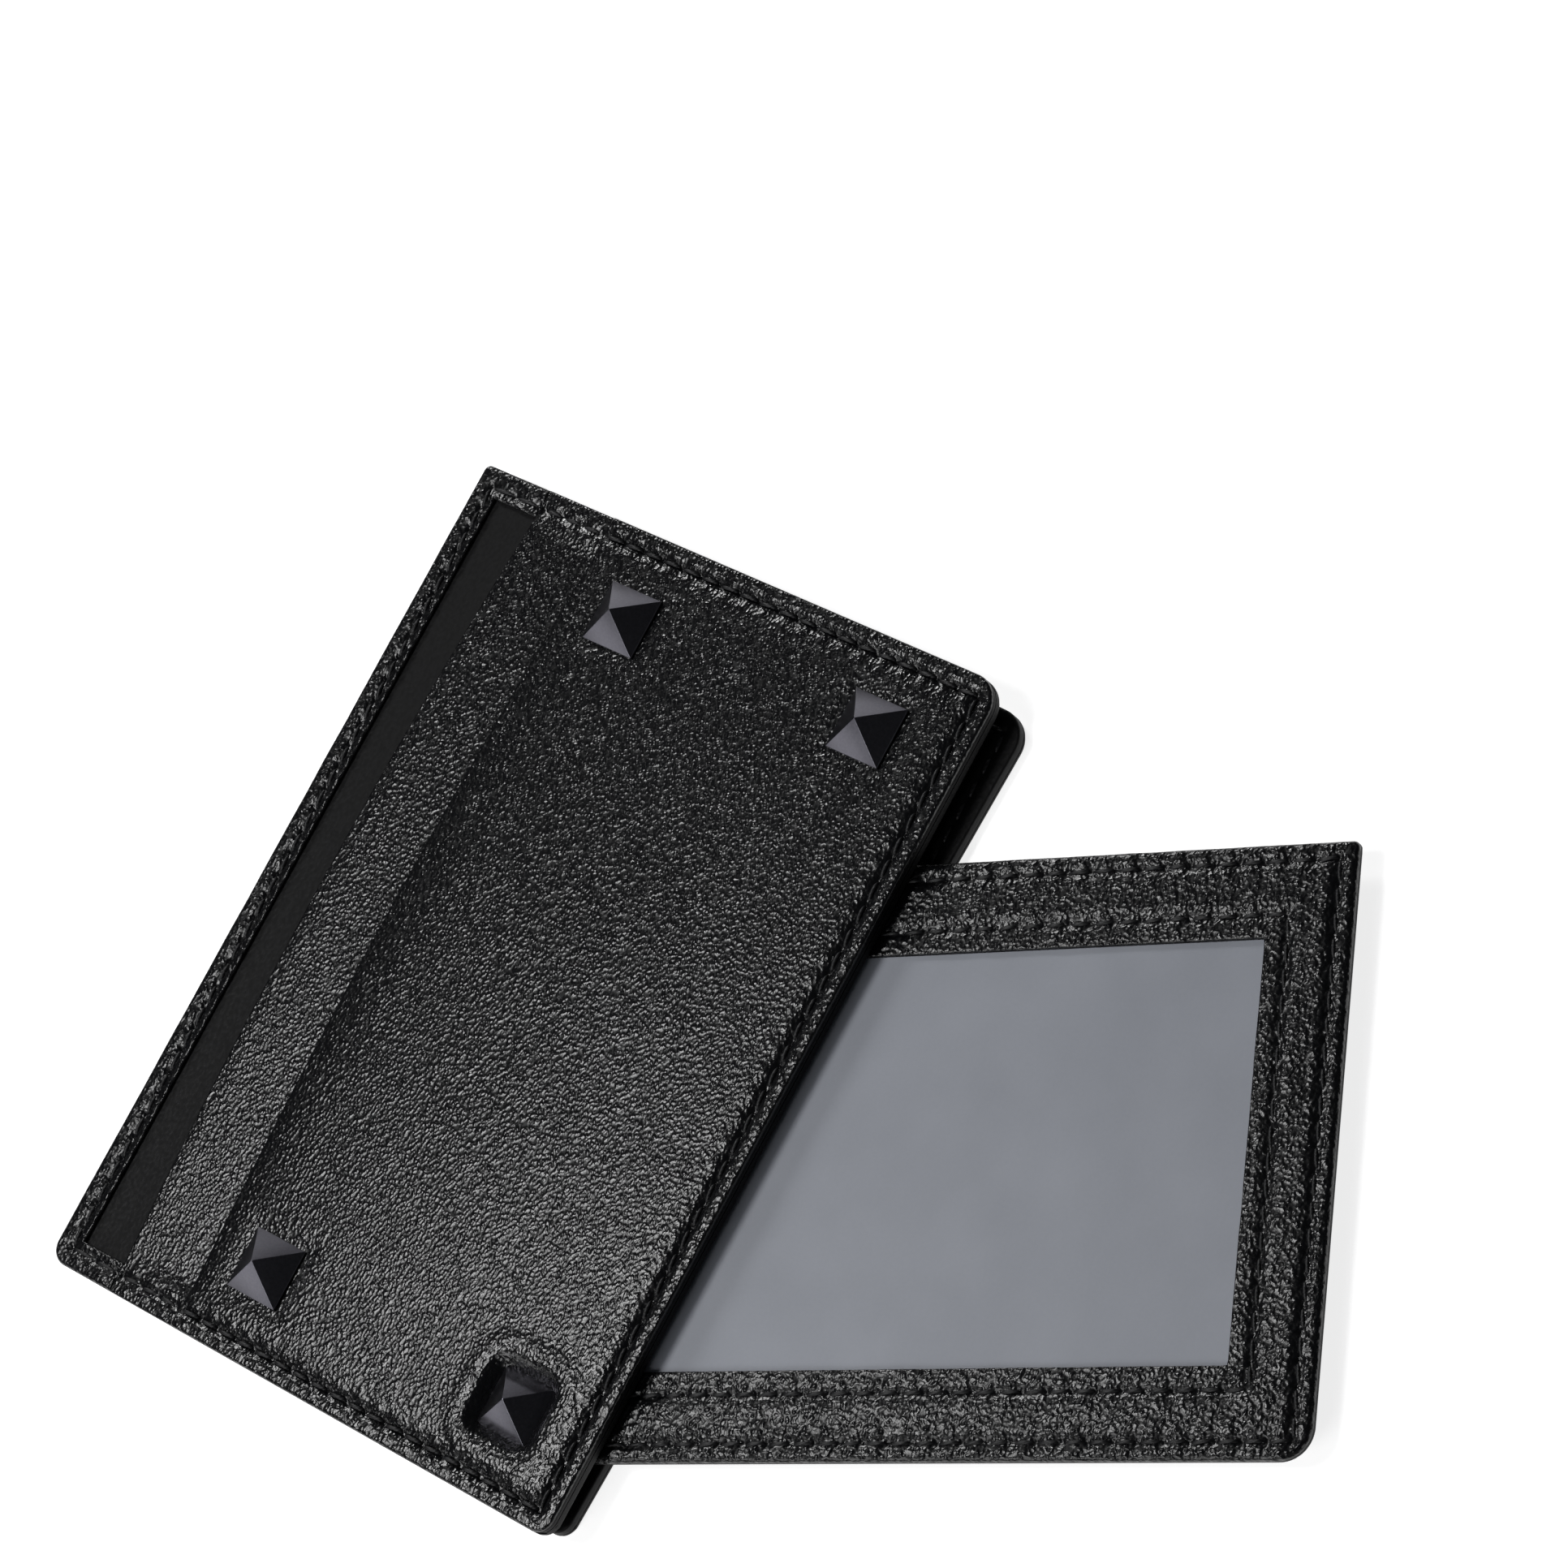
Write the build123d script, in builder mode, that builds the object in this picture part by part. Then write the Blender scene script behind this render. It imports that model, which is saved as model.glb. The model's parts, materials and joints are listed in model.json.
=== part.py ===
"""Three-leaf leather card wallet: the leaves swivel on one corner rivet.

Row frame: millimetres, +Z up. The origin is the centre of the back leaf's flat underside, which rests on a
surface. +X runs along the leaves' long edges, away from the rivet, and +Y runs towards the card slots.

Each leaf has its own plan frame with its origin on the rivet axis. The back leaf's plan frame is parallel to
the row frame, and the other two leaves are turned about the rivet axis.
"""
from build123d import *
from math import cos, radians, sin
import os

os.makedirs("parts", exist_ok=True)

# --- driving dimensions (mm, degrees) ---------------------------------------------------------------------
leaf_length = 100.6          # long edge of the studded leaf
leaf_width = 74.4            # short edge of the two outer leaves
back_leaf_setback = 1.4      # back leaf shorter than the studded leaf at the far end
back_leaf_inset = 1.0        # back leaf shorter than the studded leaf at the rivet end
pivot_from_end = 10.4        # rivet axis to the short edge beside it
pivot_from_side = 11.3       # rivet axis to the long edge beside it
far_stud_from_end = 10.1     # far studs to the other short edge
lower_stud_rise = 1.0        # lower far stud above the rivet's row
upper_stud_from_mouth = 8.0  # upper studs to the mouth of the studded pocket

window_leaf_shorter = 6.0    # window leaf's length and width are less than the studded leaf's by these
window_leaf_narrower = 10.3
window_pivot_from_end = 5.7
window_pivot_from_side = 5.7
window_border_outer = 9.5    # leather between the window and the outer short edge
window_border_upper = 10.1
window_border_lower = 9.6
window_border_inner = 11.0   # leather between the window and the pivot end

front_leaf_turn = 1.8        # rest angle of the studded leaf from the back leaf
window_leaf_turn = -63.2     # rest angle of the window leaf from the back leaf

outer_lower_radius = 3.5     # rounded corner at the far end, away from the slots
outer_upper_radius = 0.8     # squared corner at the far end, beside the slots
inner_upper_radius = 2.2
inner_lower_radius = 2.0

# layer thicknesses
pocket_leather = 0.5
second_pocket_leather = 0.45
slot_panel_leather = 0.45
border_leather = 0.5
lining_leather = 0.4
board = 0.3
frame_leather = 0.5
film = 0.15
card_gap = 0.15              # the empty card space; leather gives way to a card
backing_sheet = 0.1
window_back_leather = 0.35

# card pockets, measured back from the slots' long edge to each mouth
front_pocket_setback = 19.3
front_pocket_bow = 1.3
second_pocket_setback = 9.6
second_pocket_bow = 1.6
border_width = 3.4
board_inset = 5.5

# window leaf details
film_overlap = 3.2           # film held under the frame on each side
rim_width = 3.0              # solid leather rim at the outer short edge
rim_side_width = 1.9         # solid leather rim at the long edges
rivet_boss_radius = 2.3      # solid leather left round the rivet in the card space
sheet_clearance = 0.25
window_corner_radius = 0.5

# seams
seam_inset = 2.2
window_seam_inset = 1.9
inner_seam_gap = 2.5         # inner seam to the window's edge
stitch_pitch = 2.7
stitch_length = 1.9
stitch_width = 0.45
thread_width = 0.25
thread_height = 0.08
groove_width = 0.6
groove_depth = 0.15
stitch_proud = 0.08

# studs and rivet
stud_base = 7.1
stud_height = 3.25
stud_skirt = 0.3
stud_tip = 0.15
shank_radius = 1.0
stud_back_radius = 2.0
stud_back_thickness = 0.25
post_radius = 1.4
tight_clearance = 0.02
running_clearance = 0.05
bushing_wall = 0.5
washer_radius = 3.1
washer_thickness = 0.2
face_gap = 0.03              # free play between a washer and the leaf beside it
cap_radius = 3.4
cap_thickness = 0.55
cap_recess_radius = 4.2
dimple_margin = 1.35         # square dimple past each side of the pivot stud
dimple_radius = 2.6

# --- sizes that follow from the leaves ----------------------------------------------------------------------
window_leaf_length = leaf_length - window_leaf_shorter
window_leaf_width = leaf_width - window_leaf_narrower
front_pocket_edge = leaf_width - front_pocket_setback
second_pocket_edge = leaf_width - second_pocket_setback
upper_stud_rise = front_pocket_edge - pivot_from_side - upper_stud_from_mouth
dimple_size = stud_base + 2 * dimple_margin

# --- heights, from the resting face up --------------------------------------------------------------------
back_slot_z = pocket_leather
back_lining_z = back_slot_z + slot_panel_leather
back_top = back_lining_z + board + lining_leather

leaf_gap = washer_thickness + 2 * face_gap
window_back_z = back_top + leaf_gap
backing_z = window_back_z + window_back_leather
film_z = backing_z + backing_sheet + card_gap
frame_z = film_z + film
window_top = frame_z + frame_leather

front_lining_z = window_top + leaf_gap
front_board_z = front_lining_z + lining_leather
front_slot_z = front_board_z + board
front_second_z = front_slot_z + slot_panel_leather
front_pocket_z = front_second_z + second_pocket_leather
front_top = front_pocket_z + pocket_leather

rear_washer_z = back_lining_z - face_gap - washer_thickness
cap_z = rear_washer_z - cap_thickness

# --- plan frames and outlines -----------------------------------------------------------------------------
back_leaf_length = leaf_length - back_leaf_inset - back_leaf_setback
pivot_x = pivot_from_end - back_leaf_inset - back_leaf_length / 2
pivot_y = pivot_from_side - leaf_width / 2


def leaf_plane(turn, height):
    """Plan plane of a leaf that is turned about the rivet axis, at a height above the resting face."""
    x_direction = (cos(radians(turn)), sin(radians(turn)), 0)
    return Plane(origin=(pivot_x, pivot_y, height), x_dir=x_direction, z_dir=(0, 0, 1))


# each box is (left, lower, right, upper) in a leaf's plan frame, with the rivet axis at 0, 0
outer_box = (
    -pivot_from_end,
    -pivot_from_side,
    leaf_length - pivot_from_end,
    leaf_width - pivot_from_side,
)
back_box = (
    outer_box[0] + back_leaf_inset,
    outer_box[1],
    outer_box[2] - back_leaf_setback,
    outer_box[3],
)
window_box = (
    -window_pivot_from_end,
    -window_pivot_from_side,
    window_leaf_length - window_pivot_from_end,
    window_leaf_width - window_pivot_from_side,
)
opening_box = (
    window_box[0] + window_border_inner,
    window_box[1] + window_border_lower,
    window_box[2] - window_border_outer,
    window_box[3] - window_border_upper,
)


def inset_box(box, inset):
    """Box moved inwards on all four sides."""
    return (box[0] + inset, box[1] + inset, box[2] - inset, box[3] - inset)


def box_corners(box):
    """Corners of a box, anticlockwise from its lower left."""
    left, lower, right, upper = box
    return [(left, lower), (right, lower), (right, upper), (left, upper)]


def leaf_face(box, inset=0.0):
    """Leaf outline with its four corner radii, made smaller all round by the inset."""
    radii = (inner_lower_radius, outer_lower_radius, outer_upper_radius, inner_upper_radius)
    with BuildSketch() as outline:
        with BuildLine():
            FilletPolyline(
                *box_corners(inset_box(box, inset)),
                radius=[max(radius - inset, 0.3) for radius in radii],
                close=True,
            )
        make_face()
    return outline.sketch


def pocket_face(box, edge_height, bow):
    """Leaf outline up to a card pocket's edge, which bows upwards between the side borders."""
    left, lower, right, upper = box
    edge = lower + edge_height
    bow_left = left + border_width
    bow_right = right - border_width
    with BuildSketch() as pocket:
        with BuildLine():
            ThreePointArc((bow_left, edge), ((bow_left + bow_right) / 2, edge + bow), (bow_right, edge))
            Polyline(
                (bow_right, edge),
                (right + 1, edge),
                (right + 1, lower - 1),
                (left - 1, lower - 1),
                (left - 1, edge),
                (bow_left, edge),
            )
        make_face()
        add(leaf_face(box), mode=Mode.INTERSECT)
    return pocket.sketch


def slot_border_face(box, edge_height):
    """Border strip along the slot edge, with a return at each end down to the pocket's edge."""
    left, lower, right, upper = box
    edge = lower + edge_height
    slot_box = (left + border_width, edge - 1, right - border_width, upper - border_width)
    with BuildSketch() as border:
        box_face((left, edge, right, upper))
        box_face(slot_box, mode=Mode.SUBTRACT)
        add(leaf_face(box), mode=Mode.INTERSECT)
    return border.sketch


def box_face(box, mode=Mode.ADD):
    """Plain rectangle over a box."""
    left, lower, right, upper = box
    with Locations(((left + right) / 2, (lower + upper) / 2)):
        Rectangle(right - left, upper - lower, mode=mode)


# --- seams ------------------------------------------------------------------------------------------------
def ring_lines(box):
    """The four straight seam lines round a box."""
    corners = box_corners(box)
    return list(zip(corners, corners[1:] + corners[:1]))


def line_strips(lines, width):
    """One strip of the given width over each straight seam line."""
    for (x1, y1), (x2, y2) in lines:
        with Locations(((x1 + x2) / 2, (y1 + y2) / 2)):
            Rectangle(abs(x2 - x1) + width, abs(y2 - y1) + width)


def line_stitches(lines):
    """The stitches that show on each straight seam line, evenly spaced between its ends."""
    for (x1, y1), (x2, y2) in lines:
        length = abs(x2 - x1) + abs(y2 - y1)
        count = max(int(length / stitch_pitch), 1)
        along_x = abs(x2 - x1) > abs(y2 - y1)
        size = (stitch_length, stitch_width) if along_x else (stitch_width, stitch_length)
        for index in range(count):
            share = (index + 0.5) / count
            with Locations((x1 + (x2 - x1) * share, y1 + (y2 - y1) * share)):
                Rectangle(*size)


slot_seam_start = outer_box[1] + second_pocket_edge
step_gap = groove_width / 2
front_pocket_seam_top = outer_box[1] + front_pocket_edge - step_gap


def leaf_seams(box):
    """Seam lines over a leaf's front pocket, its second pocket and its slot border."""
    left, lower, right, upper = inset_box(box, seam_inset)
    over_pocket = [
        ((left, front_pocket_seam_top), (left, lower)),
        ((left, lower), (right, lower)),
        ((right, lower), (right, front_pocket_seam_top)),
    ]
    second_start = front_pocket_seam_top + 2 * step_gap + stitch_width
    second_end = slot_seam_start - 2 * step_gap
    over_second = [((side, second_start), (side, second_end)) for side in (left, right)]
    over_border = [
        ((left, slot_seam_start + step_gap), (left, upper)),
        ((left, upper), (right, upper)),
        ((right, upper), (right, slot_seam_start + step_gap)),
    ]
    return over_pocket, over_second, over_border


# the studded leaf's seam runs at three heights: over the front pocket, the second pocket and the border
front_pocket_seam, second_pocket_seam, slot_border_seam = leaf_seams(outer_box)
back_pocket_seam, back_second_seam, back_border_seam = leaf_seams(back_box)

window_seam_box = inset_box(window_box, window_seam_inset)
window_seam = [
    ((window_seam_box[0], window_seam_box[1]), (window_seam_box[2], window_seam_box[1])),
    ((window_seam_box[2], window_seam_box[1]), (window_seam_box[2], window_seam_box[3])),
    ((window_seam_box[2], window_seam_box[3]), (window_seam_box[0], window_seam_box[3])),
]
inner_seam = ring_lines(inset_box(opening_box, -inner_seam_gap))

running_radius = post_radius + running_clearance
bushing_radius = running_radius + bushing_wall

# --- studded leaf -----------------------------------------------------------------------------------------
front_studs = [
    (0, upper_stud_rise),
    (outer_box[2] - far_stud_from_end, upper_stud_rise),
    (outer_box[2] - far_stud_from_end, lower_stud_rise),
]
front_turn = front_leaf_turn

with BuildPart() as front_lining:
    with BuildSketch(leaf_plane(front_turn, front_lining_z)):
        add(leaf_face(outer_box))
    extrude(amount=lining_leather + board)
    with BuildSketch(leaf_plane(front_turn, front_board_z)):
        add(leaf_face(outer_box, board_inset))
    extrude(amount=board, mode=Mode.SUBTRACT)
    with BuildSketch(leaf_plane(front_turn, front_lining_z)):
        Circle(running_radius)
    extrude(amount=lining_leather + board, mode=Mode.SUBTRACT)

with BuildPart() as front_board:
    with BuildSketch(leaf_plane(front_turn, front_board_z)):
        add(leaf_face(outer_box, board_inset + sheet_clearance))
        Circle(running_radius, mode=Mode.SUBTRACT)
    extrude(amount=board)

with BuildPart() as front_slot_panel:
    with BuildSketch(leaf_plane(front_turn, front_slot_z)):
        add(leaf_face(outer_box))
        RectangleRounded(dimple_size, dimple_size, dimple_radius, mode=Mode.SUBTRACT)
    extrude(amount=slot_panel_leather)

with BuildPart() as front_slot_border:
    with BuildSketch(leaf_plane(front_turn, front_second_z)):
        add(slot_border_face(outer_box, second_pocket_edge))
    extrude(amount=border_leather)
    with BuildSketch(leaf_plane(front_turn, front_second_z + border_leather - groove_depth)):
        line_strips(slot_border_seam, groove_width)
    extrude(amount=groove_depth, mode=Mode.SUBTRACT)

with BuildPart() as front_second_pocket:
    with BuildSketch(leaf_plane(front_turn, front_second_z)):
        add(pocket_face(outer_box, second_pocket_edge, second_pocket_bow))
        RectangleRounded(dimple_size, dimple_size, dimple_radius, mode=Mode.SUBTRACT)
    extrude(amount=second_pocket_leather)
    with BuildSketch(leaf_plane(front_turn, front_pocket_z - groove_depth)):
        line_strips(second_pocket_seam, groove_width)
    extrude(amount=groove_depth, mode=Mode.SUBTRACT)
    with BuildSketch(leaf_plane(front_turn, front_pocket_z - stud_back_thickness)):
        with Locations(*front_studs):
            Circle(stud_back_radius + sheet_clearance)
    extrude(amount=stud_back_thickness, mode=Mode.SUBTRACT)

with BuildPart() as front_studded_pocket:
    with BuildSketch(leaf_plane(front_turn, front_pocket_z)):
        add(pocket_face(outer_box, front_pocket_edge, front_pocket_bow))
        RectangleRounded(dimple_size, dimple_size, dimple_radius, mode=Mode.SUBTRACT)
        with Locations(*front_studs):
            Circle(shank_radius + tight_clearance, mode=Mode.SUBTRACT)
    extrude(amount=pocket_leather)
    with BuildSketch(leaf_plane(front_turn, front_top - groove_depth)):
        line_strips(front_pocket_seam, groove_width)
    extrude(amount=groove_depth, mode=Mode.SUBTRACT)


def pyramid(turn, base_height, spot):
    """Pyramid head with a short upright skirt, standing on a base height at one spot."""
    with BuildPart() as head:
        with BuildSketch(leaf_plane(turn, base_height)):
            with Locations(spot):
                Rectangle(stud_base, stud_base)
        extrude(amount=stud_skirt)
        with BuildSketch(leaf_plane(turn, base_height + stud_skirt)):
            with Locations(spot):
                Rectangle(stud_base, stud_base)
        with BuildSketch(leaf_plane(turn, base_height + stud_height)):
            with Locations(spot):
                Rectangle(stud_tip, stud_tip)
        loft()
    return head.part


with BuildPart() as corner_studs:
    for spot in front_studs:
        add(pyramid(front_turn, front_top, spot))
    with BuildSketch(leaf_plane(front_turn, front_pocket_z)):
        with Locations(*front_studs):
            Circle(shank_radius)
    extrude(amount=pocket_leather)

with BuildPart() as stud_backs:
    with BuildSketch(leaf_plane(front_turn, front_pocket_z - stud_back_thickness)):
        with Locations(*front_studs):
            Circle(stud_back_radius)
    extrude(amount=stud_back_thickness)


def seam_thread(turn, lines, surface):
    """Thread lying in its groove, with the stitches standing a little proud of the leather."""
    with BuildPart() as thread:
        with BuildSketch(leaf_plane(turn, surface - groove_depth)):
            line_strips(lines, thread_width)
        extrude(amount=thread_height)
        with BuildSketch(leaf_plane(turn, surface - groove_depth)):
            line_stitches(lines)
        extrude(amount=groove_depth + stitch_proud)
    return thread.part


with BuildPart() as front_seam_thread:
    add(seam_thread(front_turn, front_pocket_seam, front_top))
    add(seam_thread(front_turn, second_pocket_seam, front_pocket_z))
    add(seam_thread(front_turn, slot_border_seam, front_second_z + border_leather))

# --- rivet ------------------------------------------------------------------------------------------------
with BuildPart() as pivot_stud:
    add(pyramid(front_turn, front_slot_z, (0, 0)))
    with BuildSketch(leaf_plane(front_turn, cap_z)):
        Circle(post_radius)
    extrude(amount=front_slot_z - cap_z)

with BuildPart() as pivot_cap:
    with BuildSketch(leaf_plane(front_turn, cap_z)):
        Circle(cap_radius)
    extrude(amount=cap_thickness)
    chamfer(edges().group_by(Axis.Z)[0], cap_thickness / 3)
    with BuildSketch(leaf_plane(front_turn, cap_z)):
        Circle(post_radius + tight_clearance)
    extrude(amount=cap_thickness, mode=Mode.SUBTRACT)

with BuildPart() as rear_washer:
    with BuildSketch(leaf_plane(front_turn, rear_washer_z)):
        Circle(washer_radius)
        Circle(running_radius, mode=Mode.SUBTRACT)
    extrude(amount=washer_thickness)

with BuildPart() as leaf_washers:
    for height in (back_top + face_gap, window_top + face_gap):
        with BuildSketch(leaf_plane(window_leaf_turn, height)):
            Circle(washer_radius)
            Circle(running_radius, mode=Mode.SUBTRACT)
        extrude(amount=washer_thickness)

# --- window leaf ------------------------------------------------------------------------------------------
window_turn = window_leaf_turn
card_space_box = (
    window_box[0] - 1,
    window_box[1] + rim_side_width,
    window_box[2] - rim_width,
    window_box[3] - rim_side_width,
)
rivet_corner_box = (window_box[0] - 1, window_box[1], 0, rivet_boss_radius)
rivet_relief = rivet_boss_radius + sheet_clearance

with BuildPart() as window_frame:
    with BuildSketch(leaf_plane(window_turn, backing_z)):
        add(leaf_face(window_box))
    extrude(amount=window_top - backing_z)
    with BuildSketch(leaf_plane(window_turn, backing_z)):
        box_face(card_space_box)
        Circle(rivet_boss_radius, mode=Mode.SUBTRACT)
        box_face(rivet_corner_box, mode=Mode.SUBTRACT)
    extrude(amount=frame_z - backing_z, mode=Mode.SUBTRACT)
    with BuildSketch(leaf_plane(window_turn, frame_z)):
        box_face(opening_box)
        fillet(vertices(), window_corner_radius)
    extrude(amount=frame_leather, mode=Mode.SUBTRACT)
    with BuildSketch(leaf_plane(window_turn, window_top - groove_depth)):
        line_strips(window_seam, groove_width)
        line_strips(inner_seam, groove_width)
    extrude(amount=groove_depth, mode=Mode.SUBTRACT)
    with BuildSketch(leaf_plane(window_turn, backing_z)):
        Circle(bushing_radius + tight_clearance)
    extrude(amount=window_top - backing_z, mode=Mode.SUBTRACT)

with BuildPart() as window_film:
    with BuildSketch(leaf_plane(window_turn, film_z)):
        box_face(inset_box(opening_box, -film_overlap))
        Circle(rivet_relief, mode=Mode.SUBTRACT)
    extrude(amount=film)

with BuildPart() as card_backing:
    with BuildSketch(leaf_plane(window_turn, backing_z)):
        box_face(inset_box(opening_box, -film_overlap - sheet_clearance))
        Circle(rivet_relief, mode=Mode.SUBTRACT)
    extrude(amount=backing_sheet)

with BuildPart() as window_back_panel:
    with BuildSketch(leaf_plane(window_turn, window_back_z)):
        add(leaf_face(window_box))
        Circle(bushing_radius + tight_clearance, mode=Mode.SUBTRACT)
    extrude(amount=window_back_leather)

with BuildPart() as window_outer_thread:
    add(seam_thread(window_turn, window_seam, window_top))

with BuildPart() as window_inner_thread:
    add(seam_thread(window_turn, inner_seam, window_top))

with BuildPart() as window_bushing:
    with BuildSketch(leaf_plane(window_turn, window_back_z)):
        Circle(bushing_radius)
        Circle(running_radius, mode=Mode.SUBTRACT)
    extrude(amount=window_top - window_back_z)

# --- back leaf --------------------------------------------------------------------------------------------
back_turn = 0.0

with BuildPart() as back_pocket:
    with BuildSketch(leaf_plane(back_turn, 0)):
        add(pocket_face(back_box, front_pocket_edge, front_pocket_bow))
        Circle(cap_recess_radius, mode=Mode.SUBTRACT)
    extrude(amount=pocket_leather)
    with BuildSketch(leaf_plane(back_turn, 0)):
        line_strips(back_pocket_seam, groove_width)
    extrude(amount=groove_depth, mode=Mode.SUBTRACT)

with BuildPart() as back_slot_border:
    with BuildSketch(leaf_plane(back_turn, 0)):
        add(slot_border_face(back_box, second_pocket_edge))
    extrude(amount=pocket_leather)
    with BuildSketch(leaf_plane(back_turn, 0)):
        line_strips(back_border_seam, groove_width)
    extrude(amount=groove_depth, mode=Mode.SUBTRACT)

with BuildPart() as back_slot_panel:
    with BuildSketch(leaf_plane(back_turn, back_slot_z)):
        add(leaf_face(back_box))
        Circle(cap_recess_radius, mode=Mode.SUBTRACT)
    extrude(amount=slot_panel_leather)

with BuildPart() as back_lining:
    with BuildSketch(leaf_plane(back_turn, back_lining_z)):
        add(leaf_face(back_box))
    extrude(amount=board + lining_leather)
    with BuildSketch(leaf_plane(back_turn, back_lining_z)):
        add(leaf_face(back_box, board_inset))
        Circle(cap_recess_radius + sheet_clearance, mode=Mode.SUBTRACT)
    extrude(amount=board, mode=Mode.SUBTRACT)
    with BuildSketch(leaf_plane(back_turn, back_lining_z)):
        Circle(bushing_radius + tight_clearance)
    extrude(amount=board + lining_leather, mode=Mode.SUBTRACT)

with BuildPart() as back_board:
    with BuildSketch(leaf_plane(back_turn, back_lining_z)):
        add(leaf_face(back_box, board_inset + sheet_clearance))
        Circle(cap_recess_radius + 2 * sheet_clearance, mode=Mode.SUBTRACT)
    extrude(amount=board)

with BuildPart() as back_seam_thread:
    for lines in (back_pocket_seam, back_border_seam):
        with BuildSketch(leaf_plane(back_turn, groove_depth - thread_height)):
            line_strips(lines, thread_width)
        extrude(amount=thread_height)
        with BuildSketch(leaf_plane(back_turn, thread_height / 2)):
            line_stitches(lines)
        extrude(amount=groove_depth - thread_height / 2)

with BuildPart() as back_bushing:
    with BuildSketch(leaf_plane(back_turn, back_lining_z)):
        Circle(bushing_radius)
        Circle(running_radius, mode=Mode.SUBTRACT)
    extrude(amount=back_top - back_lining_z)

# --- hand-over --------------------------------------------------------------------------------------------
pieces = {
    "front_lining": front_lining,
    "front_board": front_board,
    "front_slot_panel": front_slot_panel,
    "front_slot_border": front_slot_border,
    "front_second_pocket": front_second_pocket,
    "front_studded_pocket": front_studded_pocket,
    "front_seam_thread": front_seam_thread,
    "corner_studs": corner_studs,
    "stud_backs": stud_backs,
    "pivot_stud": pivot_stud,
    "pivot_cap": pivot_cap,
    "rear_washer": rear_washer,
    "leaf_washers": leaf_washers,
    "window_frame": window_frame,
    "window_film": window_film,
    "card_backing": card_backing,
    "window_back_panel": window_back_panel,
    "window_outer_thread": window_outer_thread,
    "window_inner_thread": window_inner_thread,
    "window_bushing": window_bushing,
    "back_pocket": back_pocket,
    "back_slot_border": back_slot_border,
    "back_slot_panel": back_slot_panel,
    "back_lining": back_lining,
    "back_board": back_board,
    "back_seam_thread": back_seam_thread,
    "back_bushing": back_bushing,
}
for name, piece in pieces.items():
    piece.part.label = name
    export_step(piece.part, f"parts/{name}.step")

print(f"rivet axis at x {pivot_x:.2f}, y {pivot_y:.2f}")
print(f"back leaf top {back_top:.2f}, window leaf top {window_top:.2f}, studded leaf top {front_top:.2f}")
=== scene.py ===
# %% [markdown]
# # Swivel card wallet in black leather
#
# The wallet is three flat leather leaves that fan out round one corner rivet: a studded card pocket on top,
# a window leaf in the middle and a plain card pocket at the back. The CAD model gives every size and every
# joint. This lesson puts grained leather, thread, metal and frosted film over that frame.

# %% Load the frame
import json
import math

import bmesh
import bpy
import numpy as np
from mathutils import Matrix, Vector

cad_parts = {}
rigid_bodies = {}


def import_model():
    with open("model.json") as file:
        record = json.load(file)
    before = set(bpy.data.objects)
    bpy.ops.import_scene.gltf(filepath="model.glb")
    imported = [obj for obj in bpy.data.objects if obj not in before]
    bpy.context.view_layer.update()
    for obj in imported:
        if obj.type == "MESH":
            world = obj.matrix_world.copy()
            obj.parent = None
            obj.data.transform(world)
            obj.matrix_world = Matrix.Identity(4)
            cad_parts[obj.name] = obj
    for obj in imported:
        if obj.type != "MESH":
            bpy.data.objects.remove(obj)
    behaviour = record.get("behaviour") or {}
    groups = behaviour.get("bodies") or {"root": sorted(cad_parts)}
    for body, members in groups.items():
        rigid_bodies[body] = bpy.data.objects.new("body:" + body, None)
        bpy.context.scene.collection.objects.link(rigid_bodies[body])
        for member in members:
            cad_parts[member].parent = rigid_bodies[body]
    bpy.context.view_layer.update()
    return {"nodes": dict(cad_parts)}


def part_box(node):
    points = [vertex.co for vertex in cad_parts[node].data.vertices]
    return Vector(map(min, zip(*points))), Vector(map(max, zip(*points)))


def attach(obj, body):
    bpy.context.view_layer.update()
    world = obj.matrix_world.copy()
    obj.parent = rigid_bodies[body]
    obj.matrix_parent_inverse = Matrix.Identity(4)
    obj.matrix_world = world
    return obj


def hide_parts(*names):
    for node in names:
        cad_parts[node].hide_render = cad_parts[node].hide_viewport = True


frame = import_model()
MM = 0.001
rng = np.random.default_rng(12)

# %% [markdown]
# Each leaf is flat and turned about the rivet, so it is easiest to work in the leaf's own plan, in millimetres,
# with the rivet axis at 0, 0. A helper measures a CAD node in that plan and another turns new points back into
# the row frame. Everything that is built later starts from these measured boxes.

# %% Leaf plans
LEAVES = {"back_leaf": 0.0, "window_leaf": -63.2, "front_leaf": 1.8}
rivet_low, rivet_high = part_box("pivot_stud")
rivet = np.array([(rivet_low[i] + rivet_high[i]) / 2 / MM for i in (0, 1)])


def turned(points, angle):
    """Points turned about the rivet axis by an angle in degrees."""
    c, s = math.cos(math.radians(angle)), math.sin(math.radians(angle))
    out = np.array(points, float)
    out[:, 0] = points[:, 0] * c - points[:, 1] * s
    out[:, 1] = points[:, 0] * s + points[:, 1] * c
    return out


def plan_box(node, leaf):
    """Left, lower, right, upper, bottom and top of a CAD node in a leaf's plan, in mm."""
    co = np.array([v.co for v in frame["nodes"][node].data.vertices], float) / MM
    co[:, :2] -= rivet
    co = turned(co, -LEAVES[leaf])
    low, high = co.min(0), co.max(0)
    return low[0], low[1], high[0], high[1], low[2], high[2]


OUTER = plan_box("front_lining", "front_leaf")
BACK_OUTER = plan_box("back_lining", "back_leaf")
WINDOW = plan_box("window_frame", "window_leaf")
print("rivet axis at", rivet.round(2))
for label, box in (("studded leaf", OUTER), ("back leaf", BACK_OUTER), ("window leaf", WINDOW)):
    print(label, np.round(box, 2))

# %% [markdown]
# A leaf's corners differ: square beside the slots, rounded at the foot. The signed distance to such a rounded
# box says how far each point is from the edge, and that one number drives the rolled edges of the leather.

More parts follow.
